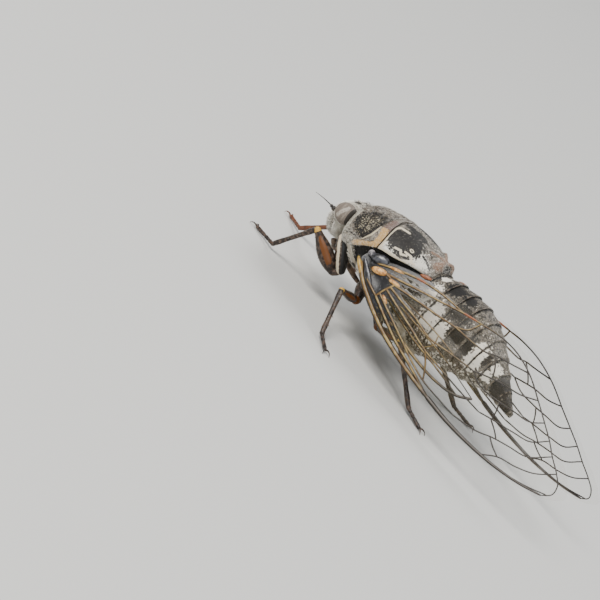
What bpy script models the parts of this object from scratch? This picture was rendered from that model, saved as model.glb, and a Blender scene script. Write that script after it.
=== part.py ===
"""A grey cicada at rest on a flat floor, life size.

Head, thorax, abdomen, four wings held like a roof and six legs. Sizes are in millimetres. The head points
along -Y, the wing tips along +Y, the animal's left is +X and the floor is z = 0. Place y = 0 is under the
front of the face while the pieces are made, and the whole is centred after.
"""

import math

import bmesh
import bpy
import numpy as np
from mathutils.geometry import delaunay_2d_cdt

# Units and general sizes
MM = 0.001
GAP = 0.3
SHELL = 0.5
LEFT, RIGHT = 1, -1
SIDES = {"left": LEFT, "right": RIGHT}
SHARP = math.radians(40)
WELD = 1e-7

# Body outline: place along the body, height of the back, height of the belly, half width
BODY = (
    (2.4, 9.6, 5.6, 3.9),
    (4.0, 10.3, 4.9, 4.5),
    (5.9, 10.85, 4.2, 4.85),
    (8.0, 11.2, 3.8, 4.95),
    (10.0, 11.15, 3.6, 4.8),
    (11.6, 10.85, 3.5, 4.4),
    (12.8, 10.35, 3.3, 3.6),
    (14.2, 10.7, 3.2, 3.45),
    (16.4, 11.05, 3.2, 3.45),
    (18.3, 11.0, 4.0, 3.4),
    (20.2, 10.4, 4.5, 3.05),
    (22.2, 9.2, 5.2, 2.55),
    (23.4, 8.4, 5.5, 1.95),
    (25.1, 7.1, 5.6, 1.15),
    (26.7, 6.0, 5.55, 0.3),
)
ROUNDNESS = 2.25
FLANK = ((3.0, 3.9), (5.2, 4.3), (6.6, 3.85), (8.5, 3.65), (12.6, 3.6))

# How finely the body is split round and along it
ARCH_AROUND = 20
PRONOTUM_RINGS, SHIELD_RINGS, THORAX_RINGS = 7, 9, 12
SETTLING = 4
CHORD_POINTS = 3

# Lines that part the body
NECK = 2.95
NECK_TOP = 9.8
NECK_SLOPE = 0.185
COLLAR = 6.25
COLLAR_BOW = 0.9
BODY_REACH = 4.5
MID_HEIGHT = 8.0
FLANK_START = 0.15
WAIST = 12.6
NOTUM_FOOT = (
    (2.4, 5.95), (3.8, 6.0), (4.8, 6.4), (5.6, 7.0), (6.4, 7.75), (7.4, 8.45), (9.0, 8.95), (11.4, 9.7),
    (12.6, 9.8),
)

# Abdomen
SEGMENTS = (12.75, 14.6, 16.3, 17.9, 19.5, 21.0, 22.4, 23.7, 25.0)
SEGMENT_STEP = 0.14
SEGMENT_SHARES = (0.0, 0.5, 1.0)
HEM = 0.97
LEVEL_SHARE = 0.7
TAIL = (25.3, 26.0, 26.6)
TAIL_SINK = 0.05

# Wings: hinge, direction of the span and of the chord, and the outward normal, for the left side
HINGE = np.array((4.6, 7.1, 6.8))
SPAN_TURN = math.radians(-1.1)
# The right pair of wings hangs a little lower and lies a little further back
SPAN_DROP = {LEFT: math.radians(-1.1), RIGHT: math.radians(-1.75)}
SLIDE = {LEFT: 0.0, RIGHT: 0.45}
ROOF_SLOPE = math.radians(63.6)
CAMBER = 1.15
ROOT_CAMBER = 0.35
CAMBER_END = 0.75
BOW_STRETCH, BOW_START, BOW_LEAN = 1.25, 0.06, 0.8
CREST = 0.4
CHORD_REACH = 6.0
WING_LENGTH = 29.5


def main():
    """Makes every node of the cicada and centres them over the floor's origin."""
    clear_scene()
    group = new_collection("cicada")
    forms = all_forms()
    every = np.concatenate([points for (points, _), _ in forms.values()])
    centre = (every.min(0) + every.max(0)) / 2
    shift = np.array((-centre[0], -centre[1], 0.0))
    for name, (form, finish) in forms.items():
        add_node(group, name, form, finish, shift)


def all_forms():
    """Each node's form and finish, by its name."""
    forms = {
        "head": (head_form(), "pale_face"),
        "rostrum": (rostrum_form(), "brown_leg"),
        "pronotum": (pronotum_form(), "grey_shield"),
        "mesonotum": (mesonotum_form(), "black_shield"),
        "thorax": (thorax_form(), "dark_flank"),
        "abdomen": (abdomen_form(), "banded_grey"),
    }
    for word, side in SIDES.items():
        forms["eye_" + word] = (eye_form(side), "grey_eye")
        forms["antenna_" + word] = (antenna_form(side), "black_bristle")
        forms["operculum_" + word] = (operculum_form(side), "pale_plate")
        forms["forewing_" + word] = (forewing_form(side), "clear_wing")
        forms["hindwing_" + word] = (hindwing_form(side), "clear_wing")
        for leg in LEGS:
            forms[leg + "_leg_" + word] = (leg_form(leg, word), "brown_leg")
    return forms


# Scene helpers


def clear_scene():
    """Removes whatever the file starts with."""
    for thing in list(bpy.data.objects):
        bpy.data.objects.remove(thing)


def new_collection(name):
    """A collection linked to the scene."""
    made = bpy.data.collections.new(name)
    bpy.context.scene.collection.children.link(made)
    return made


# Colour, roughness and metallic value of each material
FINISHES = {
    "grey_shield": ((0.20, 0.18, 0.15), 0.65, 0.0),
    "black_shield": ((0.06, 0.055, 0.05), 0.45, 0.0),
    "dark_flank": ((0.12, 0.11, 0.10), 0.6, 0.0),
    "banded_grey": ((0.33, 0.32, 0.29), 0.7, 0.0),
    "pale_face": ((0.42, 0.38, 0.32), 0.7, 0.0),
    "grey_eye": ((0.22, 0.19, 0.17), 0.25, 0.0),
    "black_bristle": ((0.03, 0.025, 0.02), 0.4, 0.0),
    "pale_plate": ((0.45, 0.42, 0.34), 0.6, 0.0),
    "clear_wing": ((0.45, 0.38, 0.22), 0.2, 0.0),
    "brown_leg": ((0.14, 0.08, 0.05), 0.4, 0.0),
}


def finish_of(name):
    """The material of that name, made once."""
    found = bpy.data.materials.get(name)
    if found:
        return found
    colour, roughness, metallic = FINISHES[name]
    made = bpy.data.materials.new(name)
    made.use_nodes = True
    shader = made.node_tree.nodes["Principled BSDF"]
    shader.inputs["Base Color"].default_value = (*colour, 1.0)
    shader.inputs["Roughness"].default_value = roughness
    shader.inputs["Metallic"].default_value = metallic
    return made


def add_node(group, name, form, finish, shift):
    """Turns (points, faces) in millimetres into a named object in metres."""
    points, faces = form
    mesh = bpy.data.meshes.new(name)
    mesh.from_pydata([tuple(point) for point in (points + shift) * MM], [], faces)
    mesh.materials.append(finish_of(finish))
    mesh.shade_smooth()
    mesh.set_sharp_from_angle(angle=SHARP)
    node = bpy.data.objects.new(name, mesh)
    group.objects.link(node)
    return node


# Curves


def smooth(table, place):
    """Reads rows of (place, value, ...) at a place, by a smooth curve through the rows."""
    rows = np.array(table, float)
    at, values = rows[:, 0], rows[:, 1:]
    slopes = np.gradient(values, at, axis=0)
    place = min(max(place, at[0]), at[-1])
    i = min(np.searchsorted(at, place, side="right") - 1, len(at) - 2)
    width = at[i + 1] - at[i]
    t = (place - at[i]) / width
    start = (1 + 2 * t) * (1 - t) ** 2
    end = t * t * (3 - 2 * t)
    lean_start = t * (1 - t) ** 2 * width
    lean_end = t * t * (t - 1) * width
    return start * values[i] + end * values[i + 1] + lean_start * slopes[i] + lean_end * slopes[i + 1]


def flowing(points, step):
    """A smooth curve through the points, with a point about every step."""
    points = np.array(points, float)
    run = np.concatenate([[0], np.cumsum(np.linalg.norm(np.diff(points, axis=0), axis=1))])
    table = np.column_stack([run, points])
    count = max(2, round(run[-1] / step) + 1)
    return np.array([smooth(table, s) for s in np.linspace(0, run[-1], count)])


def power(value, exponent):
    """A power that keeps the sign."""
    return math.copysign(abs(value) ** exponent, value)


# Body forms


def outline(place, angle, width=None, swell=0.0):
    """A point of the body's skin. Angle 0 is the middle of the back, a quarter turn is the left side."""
    top, belly, wide = smooth(BODY, place)
    if width is not None:
        wide = width
    middle = (top + belly) / 2
    half = (top - belly) / 2
    x = (wide + swell) * power(math.sin(angle), 2 / ROUNDNESS)
    z = middle + (half + swell) * power(math.cos(angle), 2 / ROUNDNESS)
    return x, z


def angle_at(place, height):
    """The angle at which the left skin reaches that height."""
    top, belly, _ = smooth(BODY, place)
    share = (height - (top + belly) / 2) / ((top - belly) / 2)
    return math.acos(power(max(-1.0, min(1.0, share)), ROUNDNESS / 2))


def neck_line(_, height):
    """Where the head ends and the pronotum begins, further back lower down."""
    return NECK + NECK_SLOPE * (NECK_TOP - height)


def collar_line(x, _):
    """The rear edge of the pronotum, bowed back at its sides."""
    return COLLAR + COLLAR_BOW * (x / BODY_REACH) ** 2


def flat_line(place):
    """A plane across the body."""
    return lambda _x, _z: place


def arch(front, rear, foot, rings, around=ARCH_AROUND, lower=False, swell=0.0):
    """A part of the body between two cross lines, above or below the foot line, closed by a level chord."""
    layers = []
    for i in range(rings + 1):
        share = i / rings
        start = front(0, MID_HEIGHT) * (1 - share) + rear(0, MID_HEIGHT) * share
        ring = []
        for j in range(around + 1):
            place = start
            for _ in range(SETTLING):
                edge = angle_at(place, foot(place))
                turn = edge * (2 * j / around - 1)
                width = None
                if lower:
                    turn = edge + 2 * (math.pi - edge) * j / around
                    width = smooth(FLANK, place)[0]
                x, z = outline(place, turn, width, swell)
                place = front(x, z) * (1 - share) + rear(x, z) * share
            ring.append((x, place, z))
        layers.append(ring + chord(ring[-1], ring[0], CHORD_POINTS))
    return loft(layers)


def chord(start, end, inner):
    """Points between two ends, without the ends."""
    start, end = np.array(start), np.array(end)
    return [tuple(start + (end - start) * k / (inner + 1)) for k in range(1, inner + 1)]


def loft(layers):
    """A closed skin through rings of as many points each, with fans over its ends."""
    rings = np.array(layers, float)
    count, around = rings.shape[:2]
    points = np.concatenate([rings.reshape(-1, 3), rings[0].mean(0)[None], rings[-1].mean(0)[None]])
    first, last = count * around, count * around + 1
    faces = []
    for i in range(count - 1):
        for j in range(around):
            k = (j + 1) % around
            faces.append((i * around + j, i * around + k, (i + 1) * around + k, (i + 1) * around + j))
    for j in range(around):
        k = (j + 1) % around
        faces.append((first, k, j))
        faces.append((last, (count - 1) * around + j, (count - 1) * around + k))
    return outward(points, faces)


def outward(points, faces):
    """The same skin, turned so that its faces point out."""
    volume = 0.0
    for face in faces:
        a = points[face[0]]
        for b, c in zip(face[1:-1], face[2:]):
            volume += np.dot(a, np.cross(points[b], points[c]))
    if volume < 0:
        faces = [tuple(reversed(face)) for face in faces]
    return points, faces


def notum_foot(place):
    """The lower edge of the shields on the back."""
    return smooth(NOTUM_FOOT, place)[0]


def pronotum_form(swell=0.0):
    """The saddle behind the head."""
    front = lambda x, z: neck_line(x, z) - swell
    rear = lambda x, z: collar_line(x, z) - GAP / 2 + swell
    foot = lambda place: notum_foot(place) - swell
    return arch(front, rear, foot, PRONOTUM_RINGS, swell=swell)


def shield_form(swell=0.0):
    """The large domed shield between the wing bases, still without its cross."""
    front = lambda x, z: collar_line(x, z) + GAP / 2 - swell
    rear = flat_line(WAIST - GAP / 2 + swell)
    foot = lambda place: notum_foot(place) - swell
    return arch(front, rear, foot, SHIELD_RINGS, swell=swell)


CROSS_FRONT, CROSS_REAR = 10.7, 12.2
CROSS_TURN = 0.3
CROSS_RADII = (0.24, 0.34, 0.34, 0.27)
CROSS_SHARES = (0, 0.35, 0.65, 1)


def mesonotum_form():
    """The domed shield with the raised cross near its rear edge."""
    arms = []
    for hand in (-1, 1):
        path = []
        for share in CROSS_SHARES:
            place = CROSS_FRONT + (CROSS_REAR - CROSS_FRONT) * share
            x, z = outline(place, hand * CROSS_TURN * (1 - 2 * share))
            path.append((x, place, z))
        arms.append(tube(path, CROSS_RADII, 8))
    return fuse([shield_form(), *arms])


def thorax_form(swell=0.0):
    """The flanks and breast, which carry the legs and wings."""
    front = lambda x, z: neck_line(x, z) + FLANK_START - swell
    rear = flat_line(WAIST - GAP / 2 + swell)
    foot = lambda place: notum_foot(place) - GAP + swell
    return arch(front, rear, foot, THORAX_RINGS, lower=True, swell=swell)


def abdomen_form():
    """The tapering abdomen, with a small step at the rear edge of each segment."""
    around = ARCH_AROUND
    layers = []
    for start, end in zip(SEGMENTS, SEGMENTS[1:]):
        for share in SEGMENT_SHARES:
            place = start + (end - start) * share * HEM
            layers.append(skin_ring(place, around, SEGMENT_STEP * (share - LEVEL_SHARE)))
    for place in TAIL:
        layers.append(skin_ring(place, around, -TAIL_SINK))
    return loft(layers)


def skin_ring(place, around, swell):
    """A whole ring of the body's skin."""
    ring = []
    for j in range(around):
        x, z = outline(place, 2 * math.pi * j / around, swell=swell)
        ring.append((x, place, z))
    return ring


def ball(centre, radii, rings=8, around=14, tilt=0.0, axis=2, ripple=0.0):
    """An ellipsoid with its poles along the axis given, tipped about X. A ripple raises every second ring."""
    layers = []
    others = [k for k in range(3) if k != axis]
    for i in range(1, rings):
        polar = math.pi * i / rings
        ring = []
        for j in range(around):
            turn = 2 * math.pi * j / around
            point = np.zeros(3)
            point[axis] = math.cos(polar) * radii[axis]
            wide = math.sin(polar) * (1 + ripple * (-1) ** i)
            point[others[0]] = wide * math.cos(turn) * radii[others[0]]
            point[others[1]] = wide * math.sin(turn) * radii[others[1]]
            ring.append(point)
        layers.append(ring)
    points, faces = loft(layers)
    for end, sign in ((-2, 1), (-1, -1)):
        points[end] = 0
        points[end][axis] = sign * radii[axis]
    return tipped(points, tilt) + np.array(centre), faces


def tipped(points, tilt):
    """The points turned about X."""
    c, s = math.cos(tilt), math.sin(tilt)
    return points @ np.array(((1, 0, 0), (0, c, -s), (0, s, c))).T


# Head
CROWN = ((0, 2.3, 7.65), (3.9, 1.5, 1.48))
FACE = ((0, 1.6, 6.5), (1.75, 1.6, 1.9))
CHEEK = ((0, 2.4, 6.3), (2.85, 1.0, 1.4))
EYE = ((3.75, 2.55, 7.97), (0.95, 1.14, 1.05))
EYE_SEAT = 3.3
FACE_TILT = math.radians(-9)
FACE_RIDGE = 0.035
OCELLI_PLACE = (1.75, 9.0)
OCELLI_SPREAD = 0.5
OCELLUS = 0.24


def head_form():
    """Crown, swollen face and cheeks in one, with flat seats for the eyes."""
    crown = ball(*CROWN, rings=10, around=16, axis=0)
    face = ball(*FACE, rings=14, around=14, tilt=FACE_TILT, ripple=FACE_RIDGE)
    cheek = ball(*CHEEK, rings=7, around=12, axis=0)
    ocelli = []
    for x in (-OCELLI_SPREAD, OCELLI_SPREAD):
        ocelli.append(ball((x, *OCELLI_PLACE), (OCELLUS,) * 3, rings=4, around=7))
    fused = fuse([crown, face, cheek, *ocelli])
    for side in SIDES.values():
        fused = cut(fused, (side * (EYE_SEAT - GAP / 2), 0, 0), (side, 0, 0))
    return behind_neck(fused)


def behind_neck(form):
    """The form ended at the neck, clear of the pronotum."""
    normal = np.array((0, 1, NECK_SLOPE))
    return cut(form, (0, NECK - GAP, NECK_TOP), normal / np.linalg.norm(normal))


def eye_form(side):
    """A domed eye on its flat seat."""
    (x, y, z), radii = EYE
    globe = ball((side * x, y, z), radii, rings=8, around=16, axis=0)
    return behind_neck(cut(globe, (side * (EYE_SEAT + GAP / 2), 0, 0), (-side, 0, 0)))


ANTENNA_BASE = np.array((2.3, 0.85, 7.0))
# The right feeler is held lower, behind the head as the photo shows it
ANTENNA_TIP = {LEFT: np.array((3.0, -1.5, 6.95)), RIGHT: np.array((3.4, -0.6, 5.9))}
ANTENNA_SHARES = (0, 0.15, 0.3, 0.6, 1)
ANTENNA_RADII = (0.33, 0.33, 0.27, 0.25, 0.08)
BEAK = ((0, 2.2, 4.1), (0, 3.2, 3.95), (0, 4.6, 3.7), (0, 6.2, 3.35), (0, 7.0, 3.25))
BEAK_RADII = (0.45, 0.46, 0.38, 0.3, 0.2)


def antenna_form(side):
    """A short bristle on a thicker base."""
    flip = np.array((side, 1, 1))
    way = ANTENNA_TIP[side] - ANTENNA_BASE
    path = [(ANTENNA_BASE + way * share) * flip for share in ANTENNA_SHARES]
    return tube(path, ANTENNA_RADII, 8)


def rostrum_form():
    """The beak, tucked back between the fore legs."""
    return tube(BEAK, BEAK_RADII, 10)


# The plate under the abdomen: where it starts and ends behind the waist, its first and last angle, and where
# along it the rounding of its edge begins
PLATE_START, PLATE_END = 0.2, 2.9
PLATE_INNER = math.pi - 0.12
PLATE_SPAN = 0.95
PLATE_ROUND = 0.35
PLATE_BLUNT = 0.45


def operculum_form(side):
    """The plate that covers the sound organ under the base of the abdomen."""
    rows, columns = 5, 7
    inner, outer = [], []
    for i in range(rows + 1):
        share = i / rows
        place = WAIST + PLATE_START + (PLATE_END - PLATE_START) * share
        span = PLATE_SPAN * math.sqrt(1 - max(0.0, share - PLATE_ROUND) ** 2 / PLATE_BLUNT)
        row_in, row_out = [], []
        for j in range(columns + 1):
            turn = PLATE_INNER - span * j / columns
            for row, swell in ((row_in, GAP), (row_out, GAP + SHELL)):
                x, z = outline(place, turn, swell=swell)
                row.append((side * x, place, z))
        inner.append(row_in)
        outer.append(row_out)
    return slab(inner, outer)


def slab(inner, outer):
    """A curved plate between two grids of as many points."""
    low, high = np.array(inner, float), np.array(outer, float)
    rows, columns = low.shape[:2]
    points = np.concatenate([low.reshape(-1, 3), high.reshape(-1, 3)])
    lift = rows * columns
    faces = []
    for i in range(rows - 1):
        for j in range(columns - 1):
            a = i * columns + j
            b, c, d = a + 1, a + columns + 1, a + columns
            faces += [(a, b, c), (a, c, d), (a + lift, c + lift, b + lift), (a + lift, d + lift, c + lift)]
    rim = list(range(columns))
    rim += [i * columns + columns - 1 for i in range(1, rows)]
    rim += [(rows - 1) * columns + j for j in range(columns - 2, -1, -1)]
    rim += [i * columns for i in range(rows - 2, 0, -1)]
    for a, b in zip(rim, rim[1:] + rim[:1]):
        faces.append((b, a, a + lift, b + lift))
    return outward(points, faces)


def tube(path, radii, around, flat=1.0):
    """A round or flattened limb along a path, with one radius for each point."""
    path = np.array(path, float)
    ahead = np.gradient(path, axis=0)
    layers = []
    for point, direction, radius in zip(path, ahead, radii):
        direction = direction / np.linalg.norm(direction)
        side = np.cross(direction, (0, 0, 1))
        if np.linalg.norm(side) < 0.2:
            side = np.cross(direction, (0, 1, 0))
        side = side / np.linalg.norm(side)
        up = np.cross(side, direction)
        turns = [2 * math.pi * j / around for j in range(around)]
        layers.append([point + radius * (side * flat * math.cos(t) + up * math.sin(t)) for t in turns])
    return loft(layers)


# Solids joined and cut


def as_object(form):
    """A scratch object that holds (points, faces) in metres."""
    points, faces = form
    mesh = bpy.data.meshes.new("piece")
    mesh.from_pydata([tuple(point) for point in points * MM], [], faces)
    made = bpy.data.objects.new("piece", mesh)
    bpy.context.scene.collection.objects.link(made)
    return made


def as_form(mesh):
    """(points, faces) in millimetres of the largest closed surface of a mesh."""
    work = bmesh.new()
    work.from_mesh(mesh)
    bmesh.ops.remove_doubles(work, verts=work.verts, dist=WELD)
    bmesh.ops.triangulate(work, faces=work.faces)
    best = max(surfaces(work), key=lambda faces: abs(volume_of(faces)))
    order = {}
    for face in best:
        for corner in face.verts:
            order.setdefault(corner, len(order))
    points = np.array([corner.co[:] for corner in order]) / MM
    faces = [tuple(order[corner] for corner in face.verts) for face in best]
    work.free()
    return outward(points, faces)


def surfaces(work):
    """The connected surfaces of a bmesh, as lists of faces."""
    left = set(work.faces)
    found = []
    while left:
        seed = left.pop()
        group, edge = [seed], [seed]
        while edge:
            face = edge.pop()
            near = [other for line in face.edges for other in line.link_faces if other in left]
            for other in near:
                if other in left:
                    left.remove(other)
                    group.append(other)
                    edge.append(other)
        found.append(group)
    return found


def volume_of(faces):
    """The signed volume inside triangles."""
    return sum(f.verts[0].co.dot(f.verts[1].co.cross(f.verts[2].co)) for f in faces) / 6


def combine(first, others, operation):
    """One Boolean of a form with several others."""
    base = as_object(first)
    tools = new_collection("tools")
    for other in others:
        tool = as_object(other)
        bpy.context.scene.collection.objects.unlink(tool)
        tools.objects.link(tool)
    join = base.modifiers.new("join", "BOOLEAN")
    join.operation = operation
    join.operand_type = "COLLECTION"
    join.collection = tools
    join.solver = "MANIFOLD"
    graph = bpy.context.evaluated_depsgraph_get()
    mesh = bpy.data.meshes.new_from_object(base.evaluated_get(graph))
    for thing in [base, *tools.objects]:
        bpy.data.objects.remove(thing)
    bpy.data.collections.remove(tools)
    return as_form(mesh)


def fuse(pieces):
    """All pieces as one closed form."""
    return combine(pieces[0], pieces[1:], "UNION")


def carve(form, cutters):
    """The form without what lies in the cutters."""
    return combine(form, cutters, "DIFFERENCE")


def cut(form, point, normal):
    """The form on the near side of a plane, closed flat there."""
    points, faces = form
    mesh = bpy.data.meshes.new("cut")
    mesh.from_pydata([tuple(p) for p in points * MM], [], faces)
    work = bmesh.new()
    work.from_mesh(mesh)
    parts = work.verts[:] + work.edges[:] + work.faces[:]
    place = [value * MM for value in point]
    bmesh.ops.bisect_plane(work, geom=parts, plane_co=place, plane_no=normal, clear_outer=True)
    rim = [edge for edge in work.edges if edge.is_boundary]
    bmesh.ops.holes_fill(work, edges=rim)
    bmesh.ops.recalc_face_normals(work, faces=work.faces)
    work.to_mesh(mesh)
    work.free()
    return as_form(mesh)


# Wings, drawn flat: distance p along the span from the hinge, q across it, towards the back of the animal
FORE_EDGE = (
    (0.0, -0.9), (1.5, -1.75), (3.4, -2.6), (6.9, -3.7), (10.5, -4.25), (15.0, -4.6), (19.0, -4.5),
    (22.5, -4.0), (25.5, -3.35), (27.8, -2.55), (29.2, -1.5), (29.8, -0.6), (29.3, 0.1), (28.2, 0.9),
    (26.5, 1.7), (25.1, 2.4), (23.4, 3.2), (21.4, 4.1), (18.9, 5.05), (16.2, 5.4), (14.0, 5.2),
    (12.2, 4.65), (10.1, 3.95), (8.0, 3.45), (5.4, 2.8), (3.1, 1.85), (1.2, 0.85), (0.0, 0.4),
)
FORE_VEINS = {
    "costa": ((0.3, -0.6), (1.6, -1.55), (3.5, -2.35), (6.9, -3.4), (10.5, -3.95), (14.3, -4.2)),
    "margin": (
        (14.3, -4.2), (17.0, -4.25), (20.5, -4.0), (23.6, -3.5), (26.2, -2.8), (28.1, -2.05), (28.7, -1.2),
        (28.4, -0.35), (27.5, 0.3), (26.0, 1.05), (24.7, 1.8), (23.1, 2.55), (21.1, 3.45), (18.6, 4.45),
        (16.2, 4.85), (14.0, 4.6), (12.3, 4.05),
    ),
    "radius": ((3.9, -1.75), (6.0, -2.4), (8.3, -3.05), (11.4, -3.6), (14.3, -4.2)),
    "sector": (
        (3.9, -1.3), (6.1, -1.9), (8.6, -2.55), (10.9, -3.15), (13.0, -3.5), (15.3, -3.5), (17.2, -3.45),
    ),
    "media": (
        (4.0, -0.6), (6.0, -0.9), (8.4, -1.25), (11.0, -1.6), (13.6, -1.6), (16.4, -1.55), (18.5, -1.45),
    ),
    "cubitus": (
        (4.1, -0.2), (6.0, -0.3), (8.1, -0.35), (10.5, -0.55), (12.3, -0.1), (13.8, 0.25), (15.3, 0.6),
    ),
    "fork": ((4.3, 0.2), (6.9, 0.85), (9.2, 1.4), (10.9, 1.9), (13.1, 2.25), (14.8, 2.7), (15.4, 3.15)),
    "fork_end": ((10.9, 1.9), (11.9, 2.6), (12.3, 4.05)),
    "clavus": ((1.7, -0.05), (3.9, 0.75), (6.2, 1.65), (8.7, 2.65), (10.4, 3.4), (12.3, 4.05)),
    "anal": ((1.5, 0.4), (3.3, 1.4), (5.5, 2.4), (8.1, 3.1), (10.4, 3.4)),
    "node_line": ((11.0, -1.6), (12.0, -2.4), (13.0, -3.5)),
    "basal_rear": ((2.6, 0.3), (3.4, 0.35), (4.3, 0.2)),
    "basal_front": ((2.0, -1.25), (3.0, -1.55), (3.9, -1.75)),
    "basal_end": ((3.9, -1.75), (4.05, -0.7), (4.3, 0.2)),
    "apical_1": ((15.4, 3.15), (16.6, 3.6), (18.6, 4.45)),
    "apical_2": ((15.3, 0.6), (16.4, 1.2), (17.8, 1.9), (19.6, 2.5), (21.1, 3.45)),
    "apical_3": ((15.3, 0.6), (16.6, 0.2), (18.6, 0.5), (20.6, 1.1), (22.2, 1.6), (23.1, 2.55)),
    "apical_4": ((18.5, -1.45), (20.2, -0.8), (22.0, -0.2), (23.6, 0.4), (24.7, 1.8)),
    "apical_5": ((17.2, -3.45), (19.8, -2.7), (21.2, -1.95), (22.8, -1.35), (24.4, -0.8), (26.0, 1.05)),
    "apical_6": ((21.6, -3.85), (22.8, -2.8), (24.6, -2.1), (26.1, -1.25), (27.5, 0.3)),
    "apical_7": ((24.6, -3.25), (26.4, -2.6), (28.5, -1.6)),
    "cross_12": ((15.4, 3.15), (16.4, 2.2), (16.9, 1.5)),
    "cross_34": ((19.0, 0.6), (19.4, 0.0), (19.8, -0.95)),
    "cross_45": ((19.7, -1.0), (20.7, -1.4), (21.5, -1.85)),
    "cross_56": ((20.9, -2.1), (21.8, -2.5), (22.8, -2.8)),
}
VEIN_WIDTH = 0.42
WIDE_VEINS = {"costa": 0.62}
FORE_RISE = 0.16
HIND_RISE = 0.1
VEIN_STEP = 1.25
FIELD_STEP = 1.9
FIELD_CLEARANCE = 0.5

HIND_EDGE = (
    (2.2, -1.0), (4.0, -1.9), (7.0, -2.6), (10.5, -3.0), (13.5, -2.9), (16.0, -2.3), (17.6, -1.3),
    (17.9, -0.5), (17.2, 0.1), (15.0, 0.7), (12.0, 1.1), (9.0, 1.2), (6.0, 1.1), (3.6, 0.8), (2.2, 0.2),
)
HIND_VEINS = {
    "costa": ((2.6, -0.9), (5.0, -1.8), (8.0, -2.35), (11.0, -2.6), (13.5, -2.5), (15.8, -1.9), (17.0, -1.0)),
    "radius": ((2.8, -0.5), (6.0, -1.2), (9.5, -1.6), (13.0, -1.7), (15.8, -1.9)),
    "media": ((2.8, -0.3), (6.0, -0.5), (9.5, -0.5), (13.0, -0.6), (17.0, -1.0)),
    "cubitus": ((2.8, -0.1), (6.0, 0.2), (9.5, 0.4), (13.0, 0.3), (16.4, -0.1)),
    "cross": ((10.2, -1.6), (10.8, -0.5), (10.4, 0.4)),
}
HIND_LIFT = -1.08


def wing_frame(side):
    """Span, chord and outward normal of a wing's plane, as they would be on the left."""
    span = np.array((math.sin(SPAN_TURN), math.cos(SPAN_TURN), math.sin(SPAN_DROP[side])))
    span /= np.linalg.norm(span)
    chord_way = np.array((-math.cos(ROOF_SLOPE), 0, math.sin(ROOF_SLOPE)))
    chord_way -= span * chord_way.dot(span)
    chord_way /= np.linalg.norm(chord_way)
    normal = np.cross(span, chord_way)
    return span, chord_way, normal if normal[0] > 0 else -normal


def wing_point(p, q, lift, side):
    """A point of a wing in space: the sheet is bowed outwards, most in the middle of its chord."""
    span, chord_way, normal = wing_frame(side)
    along = min(max(p / WING_LENGTH, 0.0), 1.0)
    bow = 0.0
    if along < CAMBER_END:
        bow = CAMBER * math.sin(math.pi * min(1.0, along * BOW_STRETCH + BOW_START) ** BOW_LEAN)
    bow = max(bow, CAMBER * ROOT_CAMBER * (1 - along))
    across = max(0.0, 1 - ((q - CREST) / CHORD_REACH) ** 2)
    point = HINGE + span * (p + SLIDE[side]) + chord_way * q + normal * (bow * across + lift)
    return point * np.array((side, 1, 1))


def vein_lines(veins):
    """Each vein's middle line and half width."""
    lines = []
    for name, points in veins.items():
        lines.append((flowing(points, VEIN_STEP), WIDE_VEINS.get(name, VEIN_WIDTH) / 2))
    return lines


def distance_to(point, line):
    """The distance from a point to a broken line."""
    a, b = line[:-1], line[1:]
    way = b - a
    share = np.clip(((point - a) * way).sum(1) / (way * way).sum(1), 0, 1)
    return np.linalg.norm(point - a - way * share[:, None], axis=1).min()


def ridge_at(point, lines):
    """How far up a vein's ridge a point lies, from 0 on the membrane to 1 on a middle line."""
    best = 0.0
    for line, half in lines:
        best = max(best, 1 - distance_to(point, line) / half)
    return best


def beside(line, offset):
    """The line moved sideways."""
    way = np.gradient(line, axis=0)
    way /= np.linalg.norm(way, axis=1)[:, None]
    return line + offset * np.column_stack([-way[:, 1], way[:, 0]])


def wing_form(edge, veins, rise, lift, side):
    """A wing's sheet with its veins raised on both faces, split into the same triangles on each."""
    rim = flowing(edge + edge[:1], VEIN_STEP)[:-1]
    lines = vein_lines(veins)
    points = [tuple(point) for point in rim]
    edges = [(i, (i + 1) % len(rim)) for i in range(len(rim))]
    for line, half in lines:
        for offset in (0.0, half, -half):
            first = len(points)
            track = [tuple(point) for point in beside(line, offset) if inside(point, rim)]
            points += track
            edges += [(first + i, first + i + 1) for i in range(len(track) - 1)]
    points += field_points(rim, lines)
    flat, _, faces = delaunay_2d_cdt(points, edges, [], 1, 1e-3)[:3]
    flat = np.array([tuple(point) for point in flat])
    halves = [SHELL / 2 + rise * ridge_at(point, lines) for point in flat]
    return two_faced(flat, faces, halves, lift, side)


def field_points(rim, lines):
    """Points spread over the membrane, clear of the rim and of the veins."""
    low, high = rim.min(0), rim.max(0)
    found = []
    for p in np.arange(low[0], high[0], FIELD_STEP):
        for q in np.arange(low[1], high[1], FIELD_STEP):
            spot = np.array((p, q))
            clear = min(distance_to(spot, line) for line, _ in lines)
            closed = np.concatenate([rim, rim[:1]])
            if inside(spot, rim) and min(clear, distance_to(spot, closed)) > FIELD_CLEARANCE:
                found.append((p, q))
    return found


def inside(point, loop):
    """Whether a point lies within a closed loop."""
    x, y = point
    ahead = np.roll(loop, -1, axis=0)
    spans = (loop[:, 1] > y) != (ahead[:, 1] > y)
    rise = np.where(spans, ahead[:, 1] - loop[:, 1], 1.0)
    crossing = loop[:, 0] + (y - loop[:, 1]) / rise * (ahead[:, 0] - loop[:, 0])
    return bool((spans & (x < crossing)).sum() % 2)


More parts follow.
